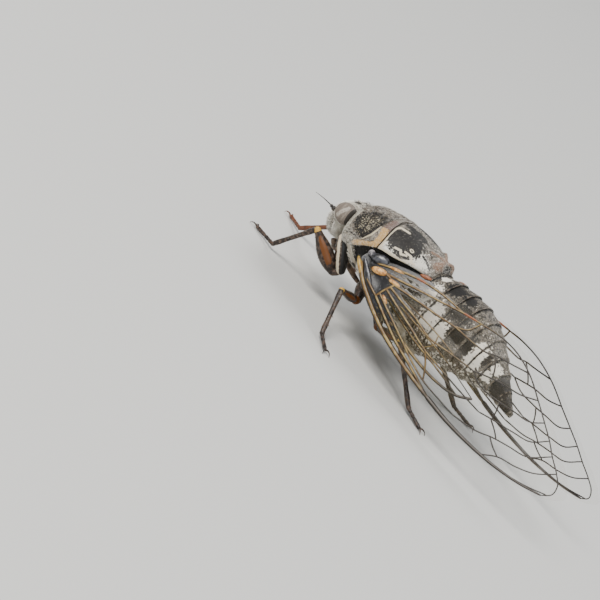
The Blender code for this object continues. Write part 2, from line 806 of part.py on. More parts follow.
def two_faced(flat, faces, halves, lift, side):
    """The outer and the inner face of a sheet, and the rim between them."""
    count = len(flat)
    outer, inner = [], []
    for point, half in zip(flat, halves):
        outer.append(wing_point(*point, lift + half, side))
        inner.append(wing_point(*point, lift - half, side))
    points = np.array(outer + inner)
    skin = []
    seen = {}
    for face in faces:
        face = tuple(face)
        skin.append(face)
        skin.append(tuple(count + i for i in reversed(face)))
        for a, b in zip(face, face[1:] + face[:1]):
            seen[(a, b)] = True
    for a, b in seen:
        if (b, a) not in seen:
            skin.append((b, a, a + count, b + count))
    return outward(points, skin)


WING_ROOT = ((4.35, 7.0, 7.1), (0.6, 0.95, 0.95))
HIND_ROOT = ((4.0, 9.6, 6.9), (0.45, 0.8, 0.8))


def body_cutters():
    """The thorax and the shields above it, each with the usual gap round it."""
    return [form(swell=GAP) for form in (thorax_form, pronotum_form, shield_form)]


def forewing_form(side):
    """The fore wing with the knot of plates at its root, trimmed to the flank."""
    sheet = wing_form(FORE_EDGE, FORE_VEINS, FORE_RISE, 0.0, side)
    (x, y, z), radii = WING_ROOT
    root = ball((side * x, y, z), radii, rings=6, around=10)
    return carve(fuse([sheet, root]), body_cutters())


def hindwing_form(side):
    """The folded hind wing under the fore wing."""
    sheet = wing_form(HIND_EDGE, HIND_VEINS, HIND_RISE, HIND_LIFT, side)
    (x, y, z), radii = HIND_ROOT
    root = ball((side * x, y, z), radii, rings=6, around=10)
    return carve(fuse([sheet, root]), body_cutters())


# Legs: hip, knuckle, heel of the thigh, knee, ankle and toe of each, for the left side. The right fore leg
# reaches further out with its foot turned aside, and the right hind shin reaches a little further
MID_LEG = (
    (2.3, 8.0, 4.4), (3.5, 9.1, 3.1), (4.0, 9.05, 3.1), (7.0, 8.5, 3.7), (10.2, 11.1, 0.55),
    (11.6, 12.9, 0.22),
)
HIND_THIGH = ((2.0, 10.6, 4.0), (2.6, 12.0, 2.7), (2.95, 12.3, 2.7), (4.2, 15.2, 3.8))
LEGS = {
    "fore": {
        "left": (
            (3.5, 3.85, 6.1), (2.9, 5.65, 3.6), (3.1, 5.2, 2.95), (4.2, 1.62, 5.0), (3.7, -0.9, 0.55),
            (2.7, -3.6, 0.22),
        ),
        "right": (
            (3.5, 3.85, 6.1), (2.9, 5.0, 3.6), (3.2, 4.4, 3.0), (5.0, 0.0, 4.4), (6.2, -3.75, 0.55),
            (7.8, -5.9, 0.22),
        ),
    },
    "mid": {"left": MID_LEG, "right": MID_LEG},
    "hind": {
        "left": (*HIND_THIGH, (5.4, 20.6, 0.55), (5.9, 22.8, 0.22)),
        "right": (*HIND_THIGH, (5.6, 20.4, 0.55), (6.3, 22.5, 0.22)),
    },
}
COXA = {"fore": (0.55, 0.64, 0.5), "mid": (0.6, 0.6, 0.42), "hind": (0.6, 0.6, 0.42)}
TROCHANTER = (0.4, 0.42, 0.36)
FEMUR = {"fore": (0.45, 0.8, 0.74, 0.42), "mid": (0.34, 0.45, 0.4, 0.38), "hind": (0.34, 0.45, 0.4, 0.38)}
TIBIA = (0.36, 0.3, 0.3, 0.3)
FOOT = (0.3, 0.28, 0.25, 0.28)
CLAW_RADII = (0.22, 0.16, 0.06)
# Of each joint of a claw: how far ahead of the toe, how far aside and how far above it
CLAW = ((0, 0.1, 0), (0.45, 0.35, 0.02), (0.75, 0.45, -0.22))
RISE = np.array((0.0, 0.0, 1.0))
CAP = 0.65


def leg_form(leg, word):
    """Coxa, femur, tibia, foot and claws as one, trimmed to the breast, with flats under the foot."""
    side = SIDES[word]
    flip = np.array((side, 1, 1))
    hip, knuckle, heel, knee, ankle, toe = [np.array(point) * flip for point in LEGS[leg][word]]
    pieces = [
        limb(hip, knuckle, COXA[leg]),
        limb(knuckle, heel, TROCHANTER),
        limb(heel, knee, FEMUR[leg]),
        limb(knee, ankle, TIBIA),
        limb(ankle, toe, FOOT),
        *claws(ankle, toe),
    ]
    whole = carve(fuse(pieces), [thorax_form(swell=GAP), pronotum_form(swell=GAP)])
    return cut(whole, (0, 0, 0), (0, 0, -1))


def limb(start, end, radii, around=9):
    """A straight segment whose radius changes along it, rounded over both ends."""
    way = end - start
    length = np.linalg.norm(way)
    unit = way / length
    path = [start - unit * radii[0] * CAP]
    sizes = [radii[0] * CAP]
    for i, radius in enumerate(radii):
        path.append(start + way * i / (len(radii) - 1))
        sizes.append(radius)
    path.append(end + unit * radii[-1] * CAP)
    sizes.append(radii[-1] * CAP)
    return tube(path, sizes, around)


def claws(ankle, toe):
    """The two hooked claws at the end of a foot."""
    way = toe - ankle
    way[2] = 0
    way /= np.linalg.norm(way)
    across = np.cross(way, (0, 0, 1))
    made = []
    for hand in (-1, 1):
        path = [toe + way * ahead + across * hand * aside + RISE * above for ahead, aside, above in CLAW]
        made.append(tube(path, CLAW_RADII, 6))
    return made


main()
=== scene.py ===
"""Looks of a grey cicada at rest, life size, on a plain pale floor.

Sizes are in millimetres until a piece is made. The head points along -Y, the wing tips along +Y, the
animal's left is +X and the floor is z = 0. Place y = 0 is under the front of the face, as in the solids'
source, and SHIFT brings it to the frame.
"""

import functools
import math

import bpy
import numpy as np
from mathutils import Matrix, Vector
from mathutils.geometry import delaunay_2d_cdt


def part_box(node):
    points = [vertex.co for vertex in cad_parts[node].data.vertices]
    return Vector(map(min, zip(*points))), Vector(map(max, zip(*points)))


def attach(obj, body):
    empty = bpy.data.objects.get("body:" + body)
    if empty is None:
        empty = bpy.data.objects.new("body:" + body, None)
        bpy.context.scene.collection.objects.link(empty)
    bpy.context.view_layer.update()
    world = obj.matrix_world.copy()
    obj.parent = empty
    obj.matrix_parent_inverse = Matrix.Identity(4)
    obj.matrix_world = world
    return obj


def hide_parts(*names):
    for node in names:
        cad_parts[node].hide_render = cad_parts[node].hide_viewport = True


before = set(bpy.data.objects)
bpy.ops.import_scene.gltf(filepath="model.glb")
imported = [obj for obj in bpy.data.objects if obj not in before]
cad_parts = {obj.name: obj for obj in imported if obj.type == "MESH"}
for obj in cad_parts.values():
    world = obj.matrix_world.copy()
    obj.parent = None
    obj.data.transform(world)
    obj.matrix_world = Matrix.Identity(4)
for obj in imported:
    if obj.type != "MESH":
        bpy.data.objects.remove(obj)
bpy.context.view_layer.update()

# Units, and the way from the body's own places to the frame
MM = 0.001
LAST_RING = 26.6
SHIFT = np.array((0.0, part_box("abdomen")[1].y / MM - LAST_RING, 0.0))
SIDES = {"left": 1, "right": -1}
TAU = 2 * math.pi

# Body outline: place along the body, height of the back, height of the belly, half width
BODY = (
    (2.4, 9.6, 5.6, 3.9),
    (4.0, 10.3, 4.9, 4.5),
    (5.9, 10.85, 4.2, 4.85),
    (8.0, 11.2, 3.8, 4.95),
    (10.0, 11.15, 3.6, 4.8),
    (11.6, 10.85, 3.5, 4.4),
    (12.8, 10.35, 3.3, 3.6),
    (14.2, 10.7, 3.2, 3.45),
    (16.4, 11.05, 3.2, 3.45),
    (18.3, 11.0, 4.0, 3.4),
    (20.2, 10.4, 4.5, 3.05),
    (22.2, 9.2, 5.2, 2.55),
    (23.4, 8.4, 5.5, 1.95),
    (25.1, 7.1, 5.6, 1.15),
    (26.7, 6.0, 5.55, 0.3),
)
ROUNDNESS = 2.25
FLANK = ((3.0, 3.9), (5.2, 4.3), (6.6, 3.85), (8.5, 3.65), (12.6, 3.6))
NECK, NECK_TOP, NECK_SLOPE = 2.95, 9.8, 0.185
COLLAR, COLLAR_BOW = 6.25, 0.9
WAIST = 12.6
NOTUM_FOOT = (
    (2.4, 5.95), (3.8, 6.0), (4.8, 6.4), (5.6, 7.0), (6.4, 7.75), (7.4, 8.45), (9.0, 8.95), (11.4, 9.7),
    (12.6, 9.8),
)
SEGMENTS = (12.75, 14.6, 16.3, 17.9, 19.5, 21.0, 22.4, 23.7, 25.0)
# Millimetres round the skin for each radian
THORAX_ARC, ABDOMEN_ARC = 4.7, 3.6


# Camera, floor and light

AZIMUTH, ELEVATION, ROLL = math.radians(20), math.radians(17), math.radians(42.9)
DISTANCE = 300.0
PIXELS_PER_MM = 10.5
PICTURE = 600
ANCHOR, ANCHOR_PIXEL = np.array((0.0, 0.0, 5.6)), (330, 215)
SENSOR = 36.0
CLIP = (0.01, 10)
FLOOR_WIDTH, FLOOR_GREY = 2.4, (0.58, 0.58, 0.56)
SKY, SKY_STRENGTH = (0.93, 0.96, 1.0), 0.42
# The lamps stand round this place, in metres, and shine on it
LAMP_AIM = Vector((0, 0, 0.006))
# Name, direction, distance in metres, width in metres, power and tint of each lamp
LAMPS = (
    ("key", (0.75, -0.35, 1.0), 0.45, 0.20, 2.7, (1.0, 0.97, 0.93)),
    ("fill", (0.9, 0.9, 0.45), 0.5, 0.30, 0.8, (0.93, 0.97, 1.0)),
    ("rim", (-0.7, 0.1, 0.9), 0.45, 0.22, 1.3, (1.0, 1.0, 1.0)),
)


def camera():
    """The photo's camera: from the left, a little behind and above, turned as the photo is."""
    c, s = math.cos(AZIMUTH), math.sin(AZIMUTH)
    back = np.array((c * math.cos(ELEVATION), s * math.cos(ELEVATION), math.sin(ELEVATION)))
    level = np.array((-s, c, 0.0))
    upright = np.cross(level, -back)
    right = math.cos(ROLL) * level + math.sin(ROLL) * upright
    up = math.cos(ROLL) * upright - math.sin(ROLL) * level
    middle = ANCHOR + right * (PICTURE / 2 - ANCHOR_PIXEL[0]) / PIXELS_PER_MM
    middle = middle - up * (PICTURE / 2 - ANCHOR_PIXEL[1]) / PIXELS_PER_MM
    data = bpy.data.cameras.new("camera")
    data.sensor_width = SENSOR
    data.lens = SENSOR * PIXELS_PER_MM * DISTANCE / PICTURE
    data.clip_start, data.clip_end = CLIP
    made = bpy.data.objects.new("camera", data)
    place = Matrix(np.column_stack([right, up, back]).tolist()).to_4x4()
    place.translation = Vector((middle + back * DISTANCE + SHIFT) * MM)
    made.matrix_world = place
    bpy.context.scene.collection.objects.link(made)
    bpy.context.scene.camera = made


def lamp(name, direction, away, width, power, tint):
    """A square soft light that shines on the animal."""
    data = bpy.data.lights.new(name, "AREA")
    data.size, data.energy, data.color = width, power, tint
    made = bpy.data.objects.new(name, data)
    way = Vector(direction).normalized()
    made.location = way * away + LAMP_AIM
    made.rotation_euler = way.to_track_quat("Z", "Y").to_euler()
    bpy.context.scene.collection.objects.link(made)


def studio():
    """A wide pale floor, three soft lights and an even sky."""
    bpy.ops.mesh.primitive_plane_add(size=FLOOR_WIDTH)
    floor = bpy.context.object
    floor.name = "floor"
    floor.data.materials.append(Paint("floor_pale").finish(FLOOR_GREY, 0.9))
    for row in LAMPS:
        lamp(*row)
    world = bpy.data.worlds.new("sky")
    world.use_nodes = True
    background = world.node_tree.nodes["Background"]
    background.inputs["Color"].default_value = (*SKY, 1.0)
    background.inputs["Strength"].default_value = SKY_STRENGTH
    bpy.context.scene.world = world


# Materials


class Paint:
    """A material under construction. Sizes are in millimetres."""

    def __init__(self, name):
        self.material = bpy.data.materials.new(name)
        self.material.use_nodes = True
        self.tree = self.material.node_tree
        self.shader = self.tree.nodes["Principled BSDF"]
        self.spot = self.tree.nodes.new("ShaderNodeTexCoord").outputs["Object"]

    def put(self, socket, value):
        """Links a socket to a node, or sets its value."""
        if isinstance(value, bpy.types.NodeSocket):
            self.tree.links.new(value, socket)
        elif hasattr(value, "__len__") and len(socket.default_value) == len(value) + 1:
            socket.default_value = (*value, 1.0)
        else:
            socket.default_value = value

    def add(self, kind, output, inputs, **settings):
        """Adds a shader node with its inputs and settings, and gives one of its outputs."""
        node = self.tree.nodes.new("ShaderNode" + kind)
        for name, value in settings.items():
            setattr(node, name, value)
        for name, value in inputs.items():
            self.put(node.inputs[name], value)
        return node.outputs[output]

    def math(self, operation, a, b):
        """One operation on two values."""
        return self.add("Math", 0, {0: a, 1: b}, operation=operation)

    def plus(self, value, other, share):
        """A value plus a share of another."""
        return self.math("ADD", value, self.math("MULTIPLY", other, share))

    def noise(self, size, detail=4.0, stretch=None):
        """Cloudy noise from 0 to 1 with spots of about that size, drawn out along the axes by the stretch."""
        spot = self.spot
        if stretch:
            spot = self.add("Mapping", "Vector", {"Vector": spot, "Scale": [1 / share for share in stretch]})
        return self.add("TexNoise", "Fac", {"Vector": spot, "Scale": 1 / (size * MM), "Detail": detail})

    def ramp(self, value, low, high):
        """A soft step from 0 at low to 1 at high."""
        inputs = {"Value": value, "From Min": low, "From Max": high}
        return self.add("MapRange", "Result", inputs, interpolation_type="SMOOTHSTEP")

    def clouds(self, size, low, high, detail=4.0, stretch=None):
        """Patches of noise between 0 and 1 with soft edges."""
        return self.ramp(self.noise(size, detail, stretch), low, high)

    def cells(self, size):
        """Distance within cells of about that size."""
        return self.add("TexVoronoi", "Distance", {"Vector": self.spot, "Scale": 1 / (size * MM)})

    def field(self, name):
        """A value that the mesh carries at its points."""
        return self.add("Attribute", "Fac", {}, attribute_name=name)

    def mix(self, share, a, b):
        """One colour changing to another."""
        return self.add("Mix", "Result", {"Factor": share, "A": a, "B": b}, data_type="RGBA")

    def layer(self, colour, field, tint, size, rough, low=0.4, high=0.6):
        """Tints the colour where a field is high, with an edge roughened by noise of that size."""
        wave = self.math("SUBTRACT", self.noise(size), 0.5)
        return self.mix(self.ramp(self.plus(self.field(field), wave, rough), low, high), colour, tint)

    def layers(self, colour, rows):
        """Layer after layer, each a row of field, tint, size and roughness of its edge, low and high."""
        for row in rows:
            colour = self.layer(colour, *row)
        return colour

    def relief(self, height, depth):
        """Bump of that depth."""
        inputs = {"Strength": 1.0, "Distance": depth * MM, "Height": height}
        self.put(self.shader.inputs["Normal"], self.add("Bump", "Normal", inputs))

    def finish(self, colour, roughness, specular=0.5, coat=0.0):
        """Sets colour, roughness and gloss."""
        inputs = {
            "Base Color": colour, "Roughness": roughness, "Specular IOR Level": specular, "Coat Weight": coat,
            "Coat Roughness": COAT_ROUGHNESS,
        }
        for name, value in inputs.items():
            self.put(self.shader.inputs[name], value)
        return self.material


CREAM = (0.50, 0.43, 0.30)
INK = (0.010, 0.009, 0.008)
DUST = (0.30, 0.27, 0.22)
# Sizes of the blotches, the lumps and the grain of hard skin
BLOTCH, LUMP, GRAIN = 0.45, 0.4, 0.09
COAT_ROUGHNESS = 0.2


def cuticle(name, ground, blotch, layers, depth=0.02):
    """Hard skin: blotched and dusted ground, its markings in layers, and fine relief."""
    paint = Paint(name)
    colour = paint.mix(paint.clouds(BLOTCH, 0.42, 0.62, 6.0), ground, blotch)
    fine = paint.noise(GRAIN, 3.0)
    colour = paint.mix(paint.math("MULTIPLY", paint.ramp(fine, 0.55, 0.72), 0.20), colour, DUST)
    paint.relief(paint.plus(fine, paint.noise(LUMP), 1.5), depth)
    return paint.finish(paint.layers(colour, layers), paint.plus(0.43, paint.noise(0.3), 0.24), 0.3)


def shield_paint():
    """The skin of the pronotum."""
    return cuticle(
        "grey_shield", (0.055, 0.043, 0.034), (0.20, 0.17, 0.135),
        (
            ("pale", (0.34, 0.32, 0.265), 0.25, 1.3, 0.35, 0.75),
            ("pink", (0.13, 0.085, 0.07), 0.25, 1.0, 0.35, 0.65),
            ("orange", (0.44, 0.27, 0.10), 0.20, 1.1, 0.30, 0.66),
            ("black", INK, 0.17, 1.7, 0.38, 0.54),
            ("speck", CREAM, 0.10, 2.3, 0.72, 0.80),
            ("cream", CREAM, 0.15, 1.0, 0.40, 0.60),
            ("groove", (0.012, 0.010, 0.009), 0.2, 0.4, 0.40, 0.60),
        ),
    )


def dome_paint():
    """The skin of the mesonotum."""
    return cuticle(
        "black_shield", (0.050, 0.042, 0.034), (0.19, 0.165, 0.135),
        (
            ("white", (0.67, 0.64, 0.56), 0.16, 2.6, 0.30, 0.64),
            ("black", INK, 0.22, 1.3, 0.40, 0.50),
            ("mist", (0.17, 0.15, 0.13), 0.10, 2.4, 0.70, 0.80),
            ("cream", (0.60, 0.53, 0.40), 0.15, 1.2, 0.40, 0.56),
            ("pink", (0.20, 0.125, 0.085), 0.25, 1.2, 0.30, 0.70),
            ("notch", INK, 0.15, 0.8, 0.40, 0.56),
        ),
        depth=0.025,
    )


def flesh_paint():
    """The skin of the flanks and the abdomen: black with chalky bloom."""
    return cuticle(
        "banded_grey", (0.018, 0.015, 0.012), (0.075, 0.062, 0.048),
        (
            ("grey", (0.17, 0.150, 0.118), 0.20, 2.2, 0.45, 0.78),
            ("white", (0.76, 0.71, 0.61), 0.26, 2.4, 0.43, 0.62),
            ("black", INK, 0.22, 1.9, 0.42, 0.56),
            ("ridge", (0.50, 0.44, 0.34), 0.2, 0.9, 0.40, 0.62),
            ("rim", (0.13, 0.105, 0.08), 0.25, 2.2, 0.60, 0.80),
        ),
        depth=0.03,
    )


def face_paint():
    """The skin of the head."""
    return cuticle(
        "pale_face", (0.30, 0.27, 0.22), (0.60, 0.56, 0.47),
        (
            ("pale", (0.80, 0.76, 0.66), 0.2, 0.9, 0.35, 0.65),
            ("black", (0.02, 0.017, 0.014), 0.2, 1.2, 0.38, 0.62),
            ("orange", (0.24, 0.11, 0.04), 0.3, 0.5, 0.40, 0.60),
        ),
    )


def eye_paint():
    """Grey brown facets with lighter streaks, a painted highlight streak and a dark rim of painted shade."""
    paint = Paint("grey_eye")
    streak = paint.clouds(0.5, 0.48, 0.70, 2.0, (2.0, 0.5, 2.4))
    colour = paint.mix(streak, (0.170, 0.140, 0.115), (0.265, 0.225, 0.185))
    # Painted highlight: a lighter streak across the eye
    colour = paint.layer(colour, "streak", (0.38, 0.34, 0.29), 0.20, 1.2, 0.45, 0.80)
    speckle = paint.math("MULTIPLY", paint.clouds(0.12, 0.45, 0.65, 3.0), 0.4)
    colour = paint.mix(speckle, colour, (0.05, 0.04, 0.034))
    # Painted shade: the dark rim where the eye meets the head and the neck
    colour = paint.layer(colour, "rim", (0.028, 0.024, 0.020), 0.3, 0.3)
    paint.relief(paint.cells(0.055), 0.006)
    return paint.finish(colour, 0.60, 0.25)


def leg_paint():
    """Dark brown horn with orange windows, yellow knees and pale bloom; painted highlight and shade on thighs
    and hips.
    """
    paint = Paint("brown_leg")
    colour = paint.layers(
        paint.mix(paint.clouds(0.4, 0.42, 0.66), (0.016, 0.011, 0.009), (0.085, 0.055, 0.04)),
        (
            ("rust", (0.14, 0.045, 0.018), 0.3, 0.8, 0.40, 0.65),
            # Pale bloom on hips and shins; on the thighs' flanks a painted highlight
            ("grey", (0.24, 0.215, 0.175), 0.18, 1.4, 0.42, 0.72),
            ("orange", (0.115, 0.036, 0.004), 0.25, 1.0),
            ("yellow", (0.56, 0.32, 0.05), 0.2, 0.6),
            ("cream", (0.58, 0.49, 0.36), 0.2, 1.0),
            # Painted shade on the rear of each fore hip, in its gap against the body
            ("ink", INK, 0.2, 0.8),
        ),
    )
    paint.relief(paint.noise(0.08, 3.0, (1, 1, 2)), 0.012)
    return paint.finish(colour, 0.42, 0.35, 0.05)


def plain_paint(name, colour, other, size, roughness, depth=0.01, coat=0.0):
    """Two colours in cloudy patches with fine bump."""
    paint = Paint(name)
    paint.relief(paint.noise(size / 3, 3.0), depth)
    return paint.finish(paint.mix(paint.clouds(size, 0.40, 0.62, 5.0), colour, other), roughness, 0.5, coat)


def hair_paint():
    """Silvery hair, dark over the dark markings of the skin below it."""
    paint = Paint("silver_hair")
    silver = paint.mix(paint.clouds(0.5, 0.4, 0.6), (0.62, 0.58, 0.51), (0.88, 0.85, 0.77))
    return paint.finish(paint.layer(silver, "shade", (0.05, 0.042, 0.034), 0.2, 0.6, 0.35, 0.65), 0.5)


def vein_paint():
    """Ochre crests between dark edges near the root, dark brown further out."""
    paint = Paint("wing_vein")
    crest = paint.ramp(paint.field("crest"), 0.70, 0.90)
    ochre = paint.mix(paint.clouds(0.7, 0.40, 0.62, 3.0), (0.13, 0.068, 0.016), (0.28, 0.190, 0.058))
    near = paint.mix(crest, (0.016, 0.010, 0.007), ochre)
    far = paint.mix(crest, (0.011, 0.009, 0.008), (0.034, 0.026, 0.018))
    broad = paint.mix(paint.ramp(paint.field("crest"), 0.90, 0.99), far, (0.085, 0.068, 0.055))
    far = paint.mix(paint.field("broad"), far, broad)
    reach = paint.ramp(paint.plus(paint.field("reach"), paint.noise(1.5), 0.25), 0.68, 0.88)
    colour = paint.layer(paint.mix(reach, near, far), "red", (0.24, 0.070, 0.022), 0.4, 0.5)
    paint.relief(paint.noise(0.1, 3.0), 0.008)
    return paint.finish(colour, 0.38)


def membrane_paint():
    """Clear, faintly tawny film, smoky and dark near the root, with painted shadow beside the veins there."""
    paint = Paint("clear_membrane")
    wave = paint.math("SUBTRACT", paint.noise(0.35, 5.0), 0.5)
    # Smoky root and painted shadow beside its veins: both darken the film and make it opaque
    smoke = paint.ramp(paint.plus(paint.field("smoke"), wave, 0.5), 0.38, 0.62)
    tint = paint.mix(paint.clouds(2.5, 0.35, 0.70), (0.22, 0.19, 0.11), (0.20, 0.14, 0.06))
    dark = paint.mix(paint.clouds(0.2, 0.54, 0.70), (0.006, 0.006, 0.007), (0.060, 0.060, 0.068))
    paint.put(paint.shader.inputs["Alpha"], paint.plus(0.035, smoke, 0.88))
    paint.relief(paint.noise(0.35, 3.0), 0.012)
    return paint.finish(paint.mix(smoke, tint, dark), paint.plus(0.18, smoke, 0.14))


PAINTS = {}
# Name, two colours, size of their patches, roughness, depth of the bump and gloss coat
PLAIN_PAINTS = (
    ("black_bristle", (0.012, 0.010, 0.009), (0.05, 0.04, 0.03), 0.3, 0.35),
    ("pale_plate", (0.30, 0.26, 0.19), (0.45, 0.40, 0.31), 0.6, 0.5, 0.02),
    ("brown_beak", (0.05, 0.03, 0.02), (0.16, 0.10, 0.06), 0.4, 0.4),
    ("dark_knot", (0.010, 0.010, 0.012), (0.060, 0.062, 0.075), 0.30, 0.30, 0.02, 0.3),
    ("orange_knot", (0.36, 0.14, 0.028), (0.72, 0.43, 0.15), 0.22, 0.4, 0.02, 0.1),
    # A dark grey knot with pale purplish patches painted as its highlight
    ("pale_knot", (0.05, 0.048, 0.055), (0.34, 0.32, 0.34), 0.22, 0.35, 0.02, 0.3),
    ("yellow_knot", (0.42, 0.28, 0.05), (0.26, 0.13, 0.03), 0.35, 0.4, 0.015, 0.2),
    ("red_knot", (0.11, 0.028, 0.012), (0.34, 0.115, 0.04), 0.15, 0.4, 0.015),
    ("ruby_bead", (0.05, 0.014, 0.010), (0.12, 0.035, 0.022), 0.2, 0.2, 0.002, 0.4),
)


def paints():
    """Every material by its name."""
    made = [
        shield_paint(), dome_paint(), flesh_paint(), face_paint(), eye_paint(), leg_paint(), vein_paint(),
        membrane_paint(), hair_paint(), *(plain_paint(*row) for row in PLAIN_PAINTS),
    ]
    for material in made:
        PAINTS[material.name] = material


# Curves and grids


def along(table, place):
    """Values read from rows of (place, value, ...) by a smooth curve, at one place or at many."""
    rows = np.array(table, float)
    at, values = rows[:, 0], rows[:, 1:]
    slopes = np.gradient(values, at, axis=0)
    place = np.clip(np.asarray(place, float), at[0], at[-1])
    i = np.clip(np.searchsorted(at, place, side="right") - 1, 0, len(at) - 2)
    width = (at[i + 1] - at[i])[..., None]
    t = (place - at[i])[..., None] / width
    start, end = (1 + 2 * t) * (1 - t) ** 2, t * t * (3 - 2 * t)
    lean_start, lean_end = t * (1 - t) ** 2 * width, t * t * (t - 1) * width
    return start * values[i] + end * values[i + 1] + lean_start * slopes[i] + lean_end * slopes[i + 1]


def flowing(points, step):
    """A smooth curve through the points, with a point about every step."""
    points = np.array(points, float)
    run = np.concatenate([[0], np.cumsum(np.linalg.norm(np.diff(points, axis=0), axis=1))])
    count = max(3, round(run[-1] / step) + 1)
    return along(np.column_stack([run, points]), np.linspace(0, run[-1], count))


def signed(value, exponent):
    """A power that keeps the sign."""
    return np.sign(value) * np.abs(value) ** exponent


def outline(place, angle, width=None, swell=0.0):
    """Points of the body's skin. Angle 0 is the middle of the back, a quarter turn is the left side."""
    top, belly, wide = np.moveaxis(along(BODY, place), -1, 0)
    if width is not None:
        wide = width
    x = (wide + swell) * signed(np.sin(angle), 2 / ROUNDNESS)
    z = (top + belly) / 2 + ((top - belly) / 2 + swell) * signed(np.cos(angle), 2 / ROUNDNESS)
    return x, z


def skin_points(place, angle, width=None, swell=0.0):
    """The same points in space, as one list."""
    x, z = outline(place, angle, width, swell)
    return np.stack([x, place, z], -1).reshape(-1, 3)


def unwrapped(place, angle):
    """The body's skin laid flat in a unit square."""
    return np.stack([(place - 2) / 25, (angle + math.pi) / TAU], -1).reshape(-1, 2)


def angle_at(place, height):
    """The angle at which the left skin reaches that height."""
    top, belly, _ = np.moveaxis(along(BODY, place), -1, 0)
    share = (height - (top + belly) / 2) / ((top - belly) / 2)
    return np.arccos(signed(np.clip(share, -1, 1), ROUNDNESS / 2))


def soft_step(value, low, high):
    """0 below low, 1 above high."""
    t = np.clip((value - low) / (high - low), 0, 1)
    return t * t * (3 - 2 * t)


def bell(value, width):
    """1 where the value is 0, falling away on both sides over about that width."""
    return np.exp(-((value / width) ** 2))


def most(*values):
    """The highest of several values at each point."""
    return functools.reduce(np.maximum, values)


def unit(ways):
    """The same directions with a length of 1."""
    return ways / np.linalg.norm(ways, axis=-1, keepdims=True)


def distance(points, line):
    """The distance from each point to a broken line, in as many coordinates as they have."""
    points, line = np.asarray(points, float), np.asarray(line, float)
    best = np.full(points.shape[:-1], np.inf)
    for a, b in zip(line[:-1], line[1:]):
        way = b - a
        share = np.clip(((points - a) @ way) / max(way @ way, 1e-12), 0, 1)
        best = np.minimum(best, np.linalg.norm(points - a - share[..., None] * way, axis=-1))
    return best


def stripe(spots, line, half):
    """1 along a line drawn on the skin, passing 0.5 at that half width."""
    return np.clip(1.5 - distance(spots, line) / half, 0, 1)


def patch(spots, centre, radii):
    """1 in an oval on the skin, passing 0.5 at its edge."""
    return np.clip(1.5 - np.linalg.norm((spots - np.array(centre)) / np.array(radii), axis=-1), 0, 1)


def grid_faces(rows, columns, closed=False):
    """Squares between neighbouring points of a grid."""
    i, j = np.meshgrid(np.arange(rows - 1), np.arange(columns if closed else columns - 1), indexing="ij")
    k = (j + 1) % columns
    near, far = i * columns, (i + 1) * columns
    return np.stack([near + j, near + k, far + k, far + j], -1).reshape(-1, 4)


class Form:
    """Points, blocks of faces with as many corners each, values carried at the points, and an unwrap."""

    def __init__(self, points, blocks, fields=None, unwrap=None):
        self.points = np.asarray(points, float).reshape(-1, 3)
        self.blocks = [np.asarray(block, int).reshape(len(block), -1) for block in blocks]
        self.fields = {name: np.asarray(values, float).ravel() for name, values in (fields or {}).items()}
        self.unwrap = unwrap

    def turned_out(self):
        """The same form with its faces pointing out."""
        volume = 0.0
        for block in self.blocks:
            a = self.points[block[:, 0]]
            for k in range(1, block.shape[1] - 1):
                volume += (a * np.cross(self.points[block[:, k]], self.points[block[:, k + 1]])).sum()
        if volume < 0:
            self.blocks = [block[:, ::-1] for block in self.blocks]
        return self


def joined(forms):
    """Several forms as one."""
    names = {name for form in forms for name in form.fields}
    blocks, count = [], 0
    for form in forms:
        blocks += [block + count for block in form.blocks]
        count += len(form.points)
    fields = {}
    for name in names:
        fields[name] = np.concatenate([form.fields.get(name, np.zeros(len(form.points))) for form in forms])
    return Form(np.concatenate([form.points for form in forms]), blocks, fields)


def end_caps(rows, columns):
    """The first and the last ring of a closed grid, each as one face."""
    first = np.arange(columns)[None, ::-1]
    last = np.arange((rows - 1) * columns, rows * columns)[None]
    return [first, last]


def two_sided(points, inner, top):
    """A closed sheet between two grids of as many points."""
    lift = len(points)
    ways = np.stack([top, np.roll(top, -1, axis=1)], -1).reshape(-1, 2)
    lines = dict.fromkeys(map(tuple, ways.tolist()))
    rim = [(b, a, a + lift, b + lift) for a, b in lines if (b, a) not in lines]
    return np.concatenate([points, inner]), [top, top[:, ::-1] + lift, rim]


def piece(name, form, paint, replaced=(), crease=50):
    """Makes a form a named object that rides on the body."""
    mesh = bpy.data.meshes.new(name)
    faces = [face for block in form.blocks for face in block.tolist()]
    mesh.from_pydata(((form.points + SHIFT) * MM).tolist(), [], faces)
    for field, values in form.fields.items():
        mesh.attributes.new(field, "FLOAT", "POINT").data.foreach_set("value", values.astype(np.float32))
    mesh.materials.append(PAINTS[paint])
    mesh.shade_smooth()
    mesh.set_sharp_from_angle(angle=math.radians(crease))
    made = bpy.data.objects.new(name, mesh)
    bpy.context.scene.collection.objects.link(made)
    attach(made, "root")
    if replaced:
        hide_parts(*replaced)
    return made


def tube(path, radii, around, up=(0, 0, 1), fields=None):
    """A round limb along a path, closed at both ends. Every value given for its rings is carried."""
    path = np.asarray(path, float)
    radii = np.broadcast_to(np.asarray(radii, float), (len(path),))
    ahead = unit(np.gradient(path, axis=0))
    side = np.cross(ahead, up)
    weak = np.linalg.norm(side, axis=1) < 0.15
    side[weak] = np.cross(ahead[weak], (0, 1, 0.1))
    side = unit(side)
    over = np.cross(side, ahead)
    turns = np.arange(around) * TAU / around
    ring = side[:, None] * np.cos(turns)[:, None] + over[:, None] * np.sin(turns)[:, None]
    points = path[:, None] + radii[:, None, None] * ring
    blocks = [grid_faces(len(path), around, closed=True), *end_caps(len(path), around)]
    carried = {"turn": np.tile(turns, len(path))}
    for name, values in (fields or {}).items():
        carried[name] = np.repeat(np.broadcast_to(np.asarray(values, float), (len(path),)), around)
    return Form(points, blocks, carried).turned_out()


